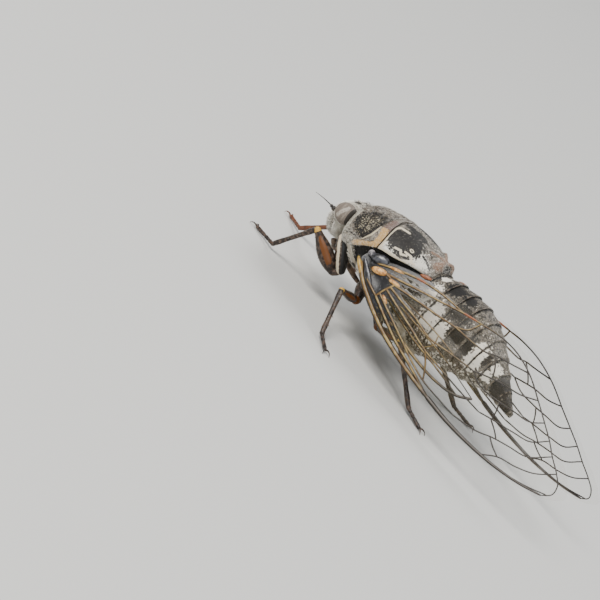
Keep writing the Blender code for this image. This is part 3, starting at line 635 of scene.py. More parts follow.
def ball(centre, radii, rings, around, axes=np.eye(3)):
    """An ellipsoid with its poles along its last axis."""
    polar = np.linspace(0, math.pi, rings + 1)[1:-1]
    turns = np.arange(around) * TAU / around
    sine, cosine = np.sin(polar)[:, None], np.cos(polar)
    unit_ball = np.stack(
        [sine * np.cos(turns), sine * np.sin(turns), np.repeat(cosine[:, None], around, 1)], -1,
    ).reshape(-1, 3)
    unit_ball = np.concatenate([unit_ball, [(0, 0, 1), (0, 0, -1)]])
    points = np.array(centre) + (unit_ball * np.array(radii)) @ np.array(axes, float)
    count = (rings - 1) * around
    j = np.arange(around)
    k = (j + 1) % around
    top = np.stack([np.full(around, count), k, j], 1)
    bottom = np.stack([np.full(around, count + 1), count - around + j, count - around + k], 1)
    return Form(points, [grid_faces(rings - 1, around, closed=True), top, bottom]).turned_out()


# Trunk: flanks and abdomen as one skin

# Rings and points round of the trunk's mesh
THORAX_RINGS, SEGMENT_RINGS, TAIL_RINGS, TRUNK_AROUND = 130, 22, 20, 240
# The skin lies that much deeper under the shields, in the fold along the belly and in the seams
UNDER_SHIELD, FOLD_DEPTH, SEAM_DEPTH = 0.38, 0.16, 0.13
FOLD_TURN, FOLD_WIDTH = 2.12, 0.07
# Each segment of the abdomen widens backwards and ends in a thicker hem
SEGMENT_FLARE, HEM_THICK = 0.17, 0.04
# On the flanks: place and distance round from the middle of the back, of each swelling over a leg's root
# and of each seam
FLANK_BUMPS = (
    ((4.3, 11.0), (0.9, 1.4), 0.25),
    ((8.1, 10.8), (1.1, 1.5), 0.32),
    ((10.7, 10.8), (1.1, 1.5), 0.30),
    ((7.6, 8.6), (1.2, 1.0), 0.18),
    ((10.2, 8.2), (1.3, 1.0), 0.18),
)
FLANK_GROOVES = (
    ((5.5, 8.0), (6.1, 9.4), (6.2, 11.0), (6.2, 14.0)),
    ((9.4, 7.2), (9.2, 9.6), (9.4, 14.0)),
    ((6.6, 9.4), (9.2, 9.5), (12.0, 9.3)),
    ((11.9, 6.8), (12.1, 10.3), (12.0, 14.0)),
)
FLANK_RIDGE = ((4.75, 9.2), (5.5, 9.9), (6.2, 11.0))
# Painted shade: a dark bar on the breast in the gap behind each fore hip, by its place, distance round and
# radii
GAP_SHADE_PATCH = ((4.6, 11.2), (0.55, 2.2))
# Chalky and dark patches of the abdomen: place, distance round from the middle of the back, radii
CHALK_PATCHES = (
    ((13.6, 3.7), (0.85, 1.4)),
    ((15.3, 5.2), (0.95, 1.5)),
    ((16.9, 6.1), (0.9, 1.2)),
    ((21.1, 5.1), (0.75, 2.3)),
    ((23.1, 2.9), (0.6, 1.5)),
    ((22.9, 5.5), (0.5, 1.0)),
    ((13.3, 0.9), (0.4, 0.7)),
)
INK_PATCHES = (
    ((17.3, 3.4), (1.0, 1.0)),
    ((18.4, 5.2), (0.9, 0.9)),
    ((15.0, 1.6), (0.9, 1.1)),
    ((16.6, 1.4), (0.8, 0.8)),
    ((19.9, 5.4), (0.4, 1.6)),
    ((22.0, 3.9), (0.32, 1.3)),
    ((24.5, 3.4), (0.8, 5.0)),
    ((25.8, 4.5), (0.6, 6.0)),
)


def segment_step(place):
    """How far each ring of the abdomen stands out, where in its segment it lies and its segment's number."""
    step, share, number = np.zeros_like(place), np.zeros_like(place), np.zeros_like(place)
    for index, (start, end) in enumerate(zip(SEGMENTS, SEGMENTS[1:])):
        within = (place >= start) & (place < end)
        t = (place - start) / (end - start)
        rise = SEGMENT_FLARE * (t - 0.75) + HEM_THICK * soft_step(t, 0.80, 0.88)
        step = np.where(within, rise, step)
        share = np.where(within, t, share)
        number = np.where(within, index + 1, number)
    return step, share, number


def trunk():
    """The skin of the flanks, the breast and the abdomen."""
    cuts = [np.linspace(NECK + 0.5, SEGMENTS[0] - 0.01, THORAX_RINGS)]
    for start, end in zip(SEGMENTS, SEGMENTS[1:]):
        cuts.append(np.concatenate([np.linspace(start, end - 0.05, SEGMENT_RINGS), [end - 0.01]]))
    cuts.append(np.linspace(SEGMENTS[-1], LAST_RING, TAIL_RINGS))
    places = np.concatenate(cuts)
    turns = np.arange(TRUNK_AROUND) * TAU / TRUNK_AROUND - math.pi
    place, turn = np.meshgrid(places, turns, indexing="ij")
    side = np.abs(turn)
    front = soft_step(WAIST + 0.1 - place, 0.0, 0.25)
    foot = angle_at(place, along(NOTUM_FOOT, place)[..., 0])
    lower = soft_step(side, foot, foot + 0.06) * front
    wide = along(BODY, place)[..., 2] * (1 - lower) + along(FLANK, place)[..., 0] * lower
    step, share, number = segment_step(place)
    swell = step - UNDER_SHIELD * front * (1 - lower)
    fold = bell(side - FOLD_TURN, FOLD_WIDTH) * (1 - front) * soft_step(24.8 - place, 0, 1)
    swell = swell - FOLD_DEPTH * fold
    spots = np.stack([place, side * np.where(place < WAIST, THORAX_ARC, ABDOMEN_ARC)], -1)
    for centre, radii, height in FLANK_BUMPS:
        swell = swell + height * front * patch(spots, centre, radii) ** 1.5
    for line in FLANK_GROOVES:
        swell = swell - SEAM_DEPTH * front * stripe(spots, line, 0.20)
    wrinkle = np.sin(place * 30 + 2.0 * np.sin(turn * 5)) * 0.008 * (1 - front)
    points = skin_points(place, turn, wide, swell + wrinkle)
    fields = trunk_fields(share, number, spots, front, soft_step(side, 2.05, 2.2))
    blocks = [grid_faces(len(places), TRUNK_AROUND, closed=True), *end_caps(len(places), TRUNK_AROUND)]
    form = Form(points, blocks, fields, unwrapped(place, turn)).turned_out()
    piece("trunk", form, "banded_grey", ("thorax", "abdomen"), crease=60)
    return form


def trunk_fields(share, number, spots, front, belly):
    """Where the trunk is chalky, black or rimmed with brown, and where shade is painted behind the fore hips.
    """
    rear = 1 - front
    ringed = (number > 0) * (1 - belly)
    white = most(0.10 + 0.28 * front + 0.30 * belly, *(patch(spots, *oval) * rear for oval in CHALK_PATCHES))
    white = white * (1 - rear * (1 - soft_step(share, 0.03, 0.16)) * ringed)
    # The second term is painted shade in the gap behind the fore hip
    black = most(front * (1 - soft_step(spots[..., 1], 8.3, 9.3)), front * patch(spots, *GAP_SHADE_PATCH))
    ridge = front * stripe(spots, FLANK_RIDGE, 0.28)
    black = most(
        black * (1 - ridge), 0.75 * (1 - soft_step(share, 0.02, 0.16)) * ringed,
        *(patch(spots, *oval) * rear for oval in INK_PATCHES),
        *(stripe(spots, line, 0.22) * front for line in FLANK_GROOVES),
    )
    rim = 0.62 * soft_step(share, 0.86, 0.93) * (number > 0) * (1 - 0.6 * soft_step(white, 0.4, 0.6))
    grey = 0.50 + 0.14 * front + 0.06 * soft_step(spots[..., 0], 18.0, 19.5)
    return {"white": white, "black": black, "rim": rim, "grey": grey, "ridge": ridge}


# Shields of the back

PRONOTUM_ROWS, MESONOTUM_ROWS, SHIELD_COLUMNS = 150, 190, 260
# How thick a shield is, how far it reaches below its foot line and how far its edges roll in
SHIELD_THICK, SHIELD_SINK, EDGE_ROLL = 0.34, 0.12, 0.12
SETTLING = 5


def arch_grid(front, rear, rows):
    """Place and angle of a saddle between two cross lines and above the lower edge of the shields."""
    ticks = np.linspace(0, 1, rows), np.linspace(-1, 1, SHIELD_COLUMNS)
    share, way = np.meshgrid(*ticks, indexing="ij")
    place = front(0, 8) * (1 - share) + rear(0, 8) * share
    turn = np.zeros_like(place)
    for _ in range(SETTLING):
        turn = way * angle_at(place, along(NOTUM_FOOT, place)[..., 0] - SHIELD_SINK)
        x, z = outline(place, turn)
        place = front(x, z) * (1 - share) + rear(x, z) * share
    return place, turn, share, way


def plate(node, place, turn, share, way, relief, fields, paint):
    """A domed shield with rolled edges, closed below."""
    edge = np.minimum(np.minimum(share, 1 - share) * 30, (1 - np.abs(way)) * 40)
    upper = skin_points(place, turn, swell=relief - EDGE_ROLL * bell(edge, 1.2))
    lower = skin_points(place, turn, swell=-SHIELD_THICK)
    top = grid_faces(*place.shape)
    points, blocks = two_sided(upper, lower, top)
    carried = {field: np.tile(values.ravel(), 2) for field, values in fields.items()}
    piece(node + "_plate", Form(points, blocks, carried).turned_out(), paint, (node,), crease=60)
    return Form(upper, [top], fields, unwrapped(place, turn))


def neck_line(x, z):
    """Where the head ends, further back lower down."""
    return NECK + NECK_SLOPE * (NECK_TOP - z)


def collar_line(x, z):
    """The rear edge of the pronotum, bowed back at its sides."""
    return COLLAR + COLLAR_BOW * (x / 4.5) ** 2


# Drawn on the pronotum: place, and distance round from the middle of the back
COLLAR_GROOVE = (
    (3.9, 8.3), (4.4, 7.65), (5.2, 7.4), (5.65, 6.95), (5.85, 5.9), (5.85, 4.3), (5.7, 2.4), (5.6, 0.0),
)
FRONT_GROOVE = ((3.0, 1.4), (3.8, 2.3), (4.4, 3.6), (4.9, 5.3), (5.2, 6.6))
REAR_GROOVE = ((4.3, 0.9), (4.9, 2.0), (5.2, 3.4), (5.5, 4.8))
COLLAR_LINE = ((5.75, 7.0), (6.1, 5.9), (6.1, 4.9), (5.95, 4.2))
ORANGE_LINE = ((5.5, 8.0), (6.1, 7.45), (6.8, 6.9), (7.15, 6.2), (7.0, 5.2), (6.6, 4.3))
PINK_LINE = ((6.6, 4.1), (6.45, 3.2), (6.35, 2.2))
MIDDLE_GROOVE = ((3.0, 0.0), (5.4, 0.0))
# Depth and half width of each groove
GROOVES = (
    (COLLAR_GROOVE, 0.15, 0.16), (FRONT_GROOVE, 0.10, 0.14),
    (REAR_GROOVE, 0.10, 0.14), (MIDDLE_GROOVE, 0.06, 0.10),
)
MOTTLED = ((5.0, 4.9), (1.15, 2.4))
LUMPS = 170


def pronotum():
    """The saddle behind the head: furrowed and mottled, with a smooth collar round its rear edge."""
    grid = arch_grid(neck_line, lambda x, z: collar_line(x, z) + 0.02, PRONOTUM_ROWS)
    place, turn = grid[:2]
    spots = np.stack([place, np.abs(turn) * THORAX_ARC], -1)
    round_back = spots[..., 1]
    behind = collar_share(spots)
    before = 1 - behind
    relief = 0.07 * behind
    for line, depth, half in GROOVES:
        relief -= depth * stripe(spots, line, half)
    rng = np.random.default_rng(7)
    lumps = np.zeros_like(place)
    for _ in range(LUMPS):
        spot = rng.uniform((3.0, 0.4), (5.7, 7.2))
        lumps = most(lumps, patch(spots, spot, rng.uniform(0.10, 0.24, 2)) * rng.uniform(0.4, 1.0))
    relief += 0.06 * lumps * before
    mottled = patch(spots, *MOTTLED) * before
    margin = place - neck_line(*outline(place, turn))
    band = (1 - soft_step(margin, 0.30, 0.60)) * soft_step(round_back, 3.0, 4.2)
    low = soft_step(round_back, 6.9, 7.5)
    lobe = low * soft_step(5.7 - place, 0, 0.4)
    fields = {
        "black": most((0.62 * mottled + 0.26 * before) * (1 - band) * (1 - low), 0.30 * lobe),
        "speck": (0.46 * mottled + 0.14 * before) * (1 - low),
        "pale": most(0.57 * low, 0.36 * behind, 0.80 * band),
        "orange": stripe(spots, ORANGE_LINE, 0.36) * behind,
        "pink": 0.75 * stripe(spots, PINK_LINE, 0.45) * behind,
        "cream": stripe(spots, COLLAR_LINE, 0.10),
        "groove": most(stripe(spots, COLLAR_GROOVE, 0.09), 0.8 * stripe(spots, FRONT_GROOVE, 0.07)),
    }
    return plate("pronotum", *grid, relief, fields, "grey_shield")


def collar_share(spots):
    """1 behind the collar's groove, 0 before it."""
    line = np.array(COLLAR_GROOVE)[::-1]
    edge = np.interp(spots[..., 1], line[:, 1], line[:, 0])
    low = soft_step(spots[..., 1], 7.4, 7.7) * soft_step(spots[..., 0], 5.2, 5.6)
    return np.maximum(soft_step(spots[..., 0], edge, edge + 0.12), low)


# Drawn on the mesonotum in the same way, each oval by its centre and radii
FRONT_EDGE = ((7.8, 6.5), (7.45, 5.7), (7.25, 4.9), (7.05, 4.1), (6.85, 2.9), (7.05, 2.3), (7.9, 2.05))
LOWER_BAND = ((7.7, 6.5), (8.6, 6.0), (9.5, 5.7), (10.8, 5.2))
SQUIGGLES = (
    ((8.6, 4.9), (9.1, 4.6), (9.4, 4.9), (9.8, 4.5)),
    ((9.5, 4.3), (10.1, 4.1), (10.5, 4.4)),
    ((10.0, 5.2), (10.4, 4.7), (10.9, 4.4)),
)
EYELET, EYELET_RADIUS = (9.7, 3.55), 0.17
CROSS_ARMS = ((10.7, 1.35), (11.5, 0.25), (11.8, 0.25), (12.3, 1.5))
CROSS_LOBE = ((12.05, 1.5), (0.45, 0.8))
NOTCH = ((10.7, 2.75), (11.3, 2.65), (11.8, 2.9))
UNDER_BAND = ((8.2, 6.75), (9.4, 6.25), (10.6, 5.75), (11.6, 5.2))
REAR_TIP = ((12.25, 0.0), (12.35, 0.6))
REAR_HOLLOW = ((11.5, 2.4), (0.6, 0.7))
BLACK_OVALS = (((8.75, 3.35), (1.7, 2.15)), ((8.2, 0.95), (1.5, 0.55)))
WHITE_OVALS = (((11.0, 4.0), (1.15, 1.6)), ((8.0, 5.6), (1.0, 1.0)))


def mesonotum():
    """The domed shield between the wing bases, with its black patches and the raised cross."""
    grid = arch_grid(lambda x, z: collar_line(x, z) - 0.15, lambda x, z: WAIST - 0.1, MESONOTUM_ROWS)
    place, turn = grid[:2]
    spots = np.stack([place, np.abs(turn) * THORAX_ARC], -1)
    after_collar = place - collar_line(outline(place, turn)[0], 0)
    cross = bell(distance(spots, CROSS_ARMS), 0.30)
    lobe = patch(spots, *CROSS_LOBE)
    relief = 0.30 * cross + 0.20 * lobe - 0.16 * bell(after_collar, 0.28)
    relief += 0.06 * stripe(spots, LOWER_BAND, 0.35) - 0.16 * patch(spots, *REAR_HOLLOW)
    black = most(*(patch(spots, *oval) for oval in BLACK_OVALS))
    eyelet = np.abs(np.linalg.norm(spots - np.array(EYELET), axis=-1) - EYELET_RADIUS)
    cream = most(
        stripe(spots, FRONT_EDGE, 0.17), stripe(spots, LOWER_BAND, 0.30), np.clip(1.5 - eyelet / 0.06, 0, 1),
        *(0.9 * stripe(spots, line, 0.13) for line in SQUIGGLES),
    )
    fields = {
        "black": black * (1 - 0.9 * soft_step(cream, 0.3, 0.6)),
        "cream": cream,
        "white": most(0.16, *(0.8 * patch(spots, *oval) for oval in WHITE_OVALS)),
        "mist": 0.42 * soft_step(black, 0.4, 0.6),
        "pink": most(0.8 * soft_step(cross, 0.35, 0.8), lobe),
        "notch": most(
            stripe(spots, NOTCH, 0.17), stripe(spots, REAR_TIP, 0.22), stripe(spots, UNDER_BAND, 0.16),
            soft_step(0.20 - after_collar, 0, 0.08),
        ),
    }
    return plate("mesonotum", *grid, relief, fields, "black_shield")


# Head

HEAD_CORE = np.array((0.0, 2.3, 7.1))
# Centre, radii and forward tilt of each ball
CROWN = ((0, 2.3, 7.65), (3.9, 1.5, 1.48), 0.0)
FACE = ((0, 1.6, 6.5), (1.75, 1.6, 1.9), math.radians(-9))
CHEEK = ((0, 2.4, 6.3), (2.85, 1.0, 1.4), 0.0)
# How sharply the three balls of the head meet, and how far its skin lies inside them
BLEND, TIGHTER = 11.0, 0.05
HEAD_ROWS, HEAD_AROUND, POLE = 220, 320, 0.004
EYE_ROWS, EYE_AROUND = 64, 96
EYE_CENTRE, EYE_RADII = np.array((3.75, 2.52, 7.96)), np.array((0.98, 1.14, 1.04))
# Seen from the side: the lighter streak painted on an eye as its highlight
EYE_HIGHLIGHT_STREAK = ((-0.30, -0.45), (-0.12, 0.15), (0.05, 0.70))
FACE_RIBS = 0.40
OCELLI, OCELLUS = ((0.5, 1.8, 8.85), (-0.5, 1.8, 8.85), (0, 1.25, 8.57)), (0.15, 0.15, 0.13)
CROWN_GROOVE, FACE_KEEL = ((0.0, 0.8), (0.0, 2.4)), ((0.0, -1.0), (0.0, 2.0))
# Seen from above: the swelling over each antenna, the dark spots beside the simple eyes and between them
BROW = ((2.3, 0.75), (0.65, 0.5))
CROWN_SPOT, CROWN_MIDDLE = ((1.4, 1.7), (0.55, 0.45)), ((0.0, 2.0), (1.0, 0.5))


def reach(ways, ball_form):
    """How far each way from the head's core goes before it leaves an ellipsoid."""
    centre, radii, tilt = ball_form
    c, s = math.cos(tilt), math.sin(tilt)
    turn = np.array(((1, 0, 0), (0, c, s), (0, -s, c)))
    start = turn @ (HEAD_CORE - np.array(centre)) / np.array(radii)
    step = ways @ turn.T / np.array(radii)
    a, b, d = (step**2).sum(-1), step @ start, start @ start - 1
    return (-b + np.sqrt(b * b - a * d)) / a


def head():
    """Crown, swollen ribbed face and cheeks in one skin."""
    angles = np.linspace(POLE, math.pi - POLE, HEAD_ROWS), np.arange(HEAD_AROUND) * TAU / HEAD_AROUND
    polar, turn = np.meshgrid(*angles, indexing="ij")
    ways = np.stack([np.sin(polar) * np.sin(turn), -np.sin(polar) * np.cos(turn), np.cos(polar)], -1)
    reaches = np.stack([reach(ways, form) for form in (CROWN, FACE, CHEEK)])
    far = np.log(np.exp(BLEND * reaches).sum(0)) / BLEND - TIGHTER
    points = HEAD_CORE + ways * far[..., None]
    x, y, z = np.moveaxis(points, -1, 0)
    lead = reaches[1] - np.maximum(reaches[0], reaches[2])
    on_face = soft_step(lead, -0.05, 0.25) * soft_step(-y, -2.6, -1.6)
    off_middle = soft_step(np.abs(x), 0.18, 0.4)
    ribs = np.sin((z + 0.28 * np.abs(x)) / FACE_RIBS * TAU) * off_middle * on_face
    seam = bell(lead - 0.02, 0.05) * soft_step(-y, -2.4, -1.2)
    rim = bell(eye_distance(points) - 0.10, 0.08)
    spots = np.stack([np.abs(x), y], -1)
    crown = soft_step(z, 8.3, 9.0)
    bulge = 0.035 * ribs - 0.11 * seam + 0.07 * rim - 0.08 * crown * stripe(spots, CROWN_GROOVE, 0.08)
    bulge += 0.12 * patch(spots, *BROW) * soft_step(z, 6.8, 7.2)
    fields = {
        "black": most(
            0.75 * seam, 0.44 * crown * (1 - rim), 0.9 * crown * patch(spots, *CROWN_SPOT),
            0.55 * crown * patch(spots, *CROWN_MIDDLE),
            0.62 * (1 - soft_step(ribs, -0.6, 0.1)) * on_face * off_middle,
        ),
        "pale": most(rim, 0.8 * soft_step(ribs, 0.0, 0.6), 0.62 * soft_step(7.4 - z, 0, 0.8)),
        "orange": 0.55 * on_face * stripe(spots, FACE_KEEL, 0.16),
    }
    blocks = [grid_faces(HEAD_ROWS, HEAD_AROUND, closed=True), *end_caps(HEAD_ROWS, HEAD_AROUND)]
    unwrap = np.stack([turn / TAU, polar / math.pi], -1).reshape(-1, 2)
    form = Form(points + ways * bulge[..., None], blocks, fields, unwrap).turned_out()
    piece("head_skin", form, "pale_face", ("head",), crease=70)
    piece("simple_eyes", joined([ball(place, OCELLUS, 10, 16) for place in OCELLI]), "ruby_bead")
    return form


def eye_distance(points):
    """How far outside the nearer eye a point is, in millimetres."""
    mirrored = np.stack([np.abs(points[..., 0]), points[..., 1], points[..., 2]], -1)
    away = np.linalg.norm((mirrored - EYE_CENTRE) / EYE_RADII, axis=-1)
    return (away - 1) * EYE_RADII.mean()


def eye(word):
    """A domed eye with a painted highlight streak, and painted shade as a dark rim where it meets the head
    and the neck.
    """
    side = SIDES[word]
    axes = (0, 1, 0), (0, 0, 1), (side, 0, 0)
    dome = ball(EYE_CENTRE * np.array((side, 1, 1)), EYE_RADII[[1, 2, 0]], EYE_ROWS, EYE_AROUND, axes)
    x, y, z = dome.points.T
    behind = y - neck_line(x, z) + 0.04
    dome.points[:, 1] -= np.maximum(behind, 0) * 0.75
    # Painted shade: a dark rim behind the neck line and on the inner side, where the eye meets the head
    dome.fields["rim"] = most(soft_step(behind, -0.24, -0.12), soft_step(3.40 - np.abs(x), 0, 0.12))
    # Where the painted highlight streak lies
    dome.fields["streak"] = stripe(np.stack([y, z], -1) - EYE_CENTRE[1:], EYE_HIGHLIGHT_STREAK, 0.20)
    piece("eye_" + word + "_dome", dome, "grey_eye", ("eye_" + word,))


# The right feeler is held lower, hidden behind the head from the photo's side
FEELER_ROOT = np.array((2.3, 0.8, 7.0))
FEELER_TIPS = {"left": (3.0, -1.5, 6.95), "right": (3.4, -0.6, 5.9)}
# Share of the length and radius at each ring of a feeler
FEELER = (
    (-0.04, 0.22), (0.0, 0.25), (0.05, 0.25), (0.10, 0.23), (0.115, 0.15), (0.12, 0.15), (0.16, 0.18),
    (0.21, 0.16), (0.225, 0.10), (0.23, 0.07), (0.3, 0.062), (0.45, 0.052), (0.6, 0.042), (0.8, 0.032),
    (1.0, 0.018),
)
BEAK = ((0, 2.0, 4.5), (0, 2.4, 4.15), (0, 3.2, 3.95), (0, 4.6, 3.7), (0, 6.2, 3.35), (0, 7.0, 3.25))
# Share of the beak's length and radius there, and the shares at which it is jointed
BEAK_PROFILE = ((0, 0.42), (0.06, 0.46), (0.2, 0.44), (0.5, 0.34), (0.9, 0.24), (1, 0.12))
BEAK_JOINTS = (0.22, 0.52)


def antenna(word):
    """Two short stout joints and a fine bristle."""
    shares, radii = np.array(FEELER).T
    path = FEELER_ROOT + (np.array(FEELER_TIPS[word]) - FEELER_ROOT) * shares[:, None]
    path = path + np.outer(shares * (1 - shares) * 0.35, (0, 0, 1))
    form = tube(path * (SIDES[word], 1, 1), radii, 14)
    piece("antenna_" + word + "_bristle", form, "black_bristle", ("antenna_" + word,))


def rostrum():
    """The jointed beak, tucked back between the fore legs."""
    path = flowing(BEAK, 0.1)
    run = np.linspace(0, 1, len(path))
    radii = np.interp(run, *np.array(BEAK_PROFILE).T)
    for joint in BEAK_JOINTS:
        radii = radii * (1 - 0.28 * bell(run - joint, 0.012))
    piece("beak", tube(path, radii, 24), "brown_beak", ("rostrum",))


# Length in millimetres, width as a turn round the belly, and points along each side of its grid
OPERCULUM_LENGTH, OPERCULUM_WIDTH, OPERCULUM_GRID = 2.7, 0.95, 40


def operculum(word):
    """The thin rounded plate under the base of the abdomen."""
    ticks = np.linspace(0, 1, OPERCULUM_GRID)
    share, way = np.meshgrid(ticks, ticks, indexing="ij")
    place = WAIST + 0.2 + OPERCULUM_LENGTH * share
    span = np.sqrt(np.maximum(0.0, 1 - np.maximum(0.0, share - 0.35) ** 2 / 0.45))
    turn = math.pi - 0.12 - OPERCULUM_WIDTH * span * way
    edge = np.minimum.reduce([share * 12, (1 - share) * 12, way * 9, (1 - way) * 9])
    swell = 0.78 - 0.16 * bell(edge, 1) + 0.04 * np.sin(share * 22)
    sheets = [skin_points(place, turn, swell=level) * (SIDES[word], 1, 1) for level in (swell, 0.32)]
    form = Form(*two_sided(*sheets, grid_faces(OPERCULUM_GRID, OPERCULUM_GRID))).turned_out()
    piece("operculum_" + word + "_plate", form, "pale_plate", ("operculum_" + word,))


# Wings, drawn flat: distance p along the span from the hinge, q across it, towards the back of the animal

HINGE = np.array((4.6, 7.1, 6.8))
SPAN_TURN = math.radians(-1.1)
# The right pair of wings hangs a little lower and lies a little further back
SPAN_DROP = {1: math.radians(-1.1), -1: math.radians(-1.75)}
SLIDE = {1: 0.0, -1: 0.45}
ROOF_SLOPE = math.radians(63.6)
CAMBER = 1.15
WING_LENGTH = 29.5
HIND_LIFT = -1.08
FORE_EDGE = (
    (0.0, -0.9), (1.5, -1.75), (3.4, -2.6), (6.9, -3.7), (10.5, -4.25), (15.0, -4.6), (19.0, -4.5),
    (22.5, -4.0), (25.5, -3.35), (27.8, -2.55), (29.2, -1.5), (29.8, -0.6), (29.3, 0.1), (28.2, 0.9),
    (26.5, 1.7), (25.1, 2.4), (23.4, 3.2), (21.4, 4.1), (18.9, 5.05), (16.2, 5.4), (14.0, 5.2),
    (12.2, 4.65), (10.1, 3.95), (8.0, 3.45), (5.4, 2.8), (3.1, 1.85), (1.2, 0.85), (0.0, 0.4),
)
FORE_VEINS = {
    "costa": ((0.3, -0.6), (1.6, -1.55), (3.5, -2.35), (6.9, -3.4), (10.5, -3.95), (14.3, -4.2)),
    "edge": ((14.3, -4.2), (17.0, -4.25), (20.5, -4.0), (23.6, -3.5), (26.2, -2.8), (28.1, -2.05)),
    "margin": (
        (28.1, -2.05), (28.7, -1.2), (28.4, -0.35), (27.5, 0.3), (26.0, 1.05), (24.7, 1.8), (23.1, 2.55),
        (21.1, 3.45), (18.6, 4.45), (16.2, 4.85), (14.0, 4.6), (12.3, 4.05),
    ),
    "radius": ((3.9, -1.75), (6.0, -2.4), (8.3, -3.05), (11.4, -3.6), (14.3, -4.2)),
    "sector": (
        (3.9, -1.3), (6.1, -1.9), (8.6, -2.55), (10.9, -3.15), (13.0, -3.5), (15.3, -3.5), (17.2, -3.45),
    ),
    "media": (
        (4.0, -0.6), (6.0, -0.9), (8.4, -1.25), (11.0, -1.6), (13.6, -1.6), (16.4, -1.55), (18.5, -1.45),
    ),
    "cubitus": (
        (4.1, -0.2), (6.0, -0.3), (8.1, -0.35), (10.5, -0.55), (12.3, -0.1), (13.8, 0.25), (15.3, 0.6),
    ),
    "fork": ((4.3, 0.2), (6.9, 0.85), (9.2, 1.4), (10.9, 1.9), (13.1, 2.25), (14.8, 2.7), (15.4, 3.15)),
    "fork_end": ((10.9, 1.9), (11.9, 2.6), (12.3, 4.05)),
    "clavus": ((1.7, -0.05), (3.9, 0.75), (6.2, 1.65), (8.7, 2.65), (10.4, 3.4), (12.3, 4.05)),
    "anal": ((1.5, 0.4), (3.3, 1.4), (5.5, 2.4), (8.1, 3.1), (10.4, 3.4)),
    "node_line": ((11.0, -1.6), (12.0, -2.4), (13.0, -3.5)),
    "basal_rear": ((2.6, 0.3), (3.4, 0.35), (4.3, 0.2)),
    "basal_front": ((2.0, -1.25), (3.0, -1.55), (3.9, -1.75)),
    "basal_end": ((3.9, -1.75), (4.05, -0.7), (4.3, 0.2)),
    "apical_1": ((15.4, 3.15), (16.6, 3.6), (18.6, 4.45)),
    "apical_2": ((15.3, 0.6), (16.4, 1.2), (17.8, 1.9), (19.6, 2.5), (21.1, 3.45)),
    "apical_3": ((15.3, 0.6), (16.6, 0.2), (18.6, 0.5), (20.6, 1.1), (22.2, 1.6), (23.1, 2.55)),
    "apical_4": ((18.5, -1.45), (20.2, -0.8), (22.0, -0.2), (23.6, 0.4), (24.7, 1.8)),
    "apical_5": ((17.2, -3.45), (19.8, -2.7), (21.2, -1.95), (22.8, -1.35), (24.4, -0.8), (26.0, 1.05)),
    "apical_6": ((21.6, -3.85), (22.8, -2.8), (24.6, -2.1), (26.1, -1.25), (27.5, 0.3)),
    "apical_7": ((24.6, -3.25), (26.4, -2.6), (28.5, -1.6)),
    "cross_12": ((15.4, 3.15), (16.4, 2.2), (16.9, 1.5)),
    "cross_34": ((19.0, 0.6), (19.4, 0.0), (19.8, -0.95)),
    "cross_45": ((19.7, -1.0), (20.7, -1.4), (21.5, -1.85)),
    "cross_56": ((20.9, -2.1), (21.8, -2.5), (22.8, -2.8)),
}
HIND_EDGE = (
    (2.2, -1.0), (4.0, -1.9), (7.0, -2.6), (10.5, -3.0), (13.5, -2.9), (16.0, -2.3), (17.6, -1.3),
    (17.9, -0.5), (17.2, 0.1), (15.0, 0.7), (12.0, 1.1), (9.0, 1.2), (6.0, 1.1), (3.6, 0.8), (2.2, 0.2),
)
HIND_VEINS = {
    "costa": (
        (2.6, -0.9), (5.0, -1.8), (8.0, -2.35), (11.0, -2.6), (13.5, -2.5), (15.8, -1.9), (17.0, -1.0),
    ),
    "radius": ((2.8, -0.5), (6.0, -1.2), (9.5, -1.6), (13.0, -1.7), (15.8, -1.9)),
    "media": ((2.8, -0.3), (6.0, -0.5), (9.5, -0.5), (13.0, -0.6), (17.0, -1.0)),
    "cubitus": ((2.8, -0.1), (6.0, 0.2), (9.5, 0.4), (13.0, 0.3), (16.4, -0.1)),
    "cross": ((10.2, -1.6), (10.8, -0.5), (10.4, 0.4)),
}
# Half width of each vein at the root, at the middle and at the tip of the wing
VEIN_SIZES = {"costa": (0.27, 0.20, 0.20), "edge": (0.22, 0.23, 0.10), "radius": (0.17, 0.13, 0.13)}
VEIN_SIZE = (0.155, 0.078, 0.060)
# Half the film's thickness, the size of its triangles and how far it sags between veins
FILM, FILM_STEP, PILLOW = 0.018, 0.28, 0.10
# Step along the film's rim, and how far inside the rim the first triangles begin
RIM_STEP, RIM_CLEAR = 0.3, 0.16
ROOT_VEINS = ("costa", "radius", "sector", "media", "cubitus", "fork", "clavus", "anal")
# Dark parts of the fore wing's root
ROOT_CELL, ROOT_PLATES = ((3.2, -0.65), (1.15, 0.85)), ((0.9, 0.6), (1.2, 0.9))
FRONT_STRIP = ((-0.2, 0.1), (1.2, -0.75), (3.2, -1.65), (4.6, -2.1))
REAR_FOLD = ((1.4, 0.9), (3.0, 1.7), (4.6, 2.4), (6.0, 2.8))


def wing_axes(side):
    """Span, chord and outward normal of a wing's plane, as they would be on the left."""
    span = unit(np.array((math.sin(SPAN_TURN), math.cos(SPAN_TURN), math.sin(SPAN_DROP[side]))))
    chord = np.array((-math.cos(ROOF_SLOPE), 0, math.sin(ROOF_SLOPE)))
    chord = unit(chord - span * chord.dot(span))
    normal = np.cross(span, chord)
    return span, chord, normal if normal[0] > 0 else -normal


def wing_points(flat, lift, side):
    """Points of a wing in space: the film is bowed outwards, most in the middle of its chord."""
    span, chord, normal = wing_axes(side)
    p, q = np.asarray(flat, float).T
    share = np.clip(p / WING_LENGTH, 0, 1)
    # Deepest about a third of the way along, flat at the tip
    bow = CAMBER * np.sin(math.pi * np.minimum(1.0, share * 1.25 + 0.06) ** 0.8) * (share < 0.75)
    bow = np.maximum(bow, CAMBER * 0.35 * (1 - share)) * np.maximum(0.0, 1 - ((q - 0.4) / 6.0) ** 2)
    points = HINGE + np.outer(p + SLIDE[side], span) + np.outer(q, chord) + np.outer(bow + lift, normal)
    return points * (side, 1, 1)


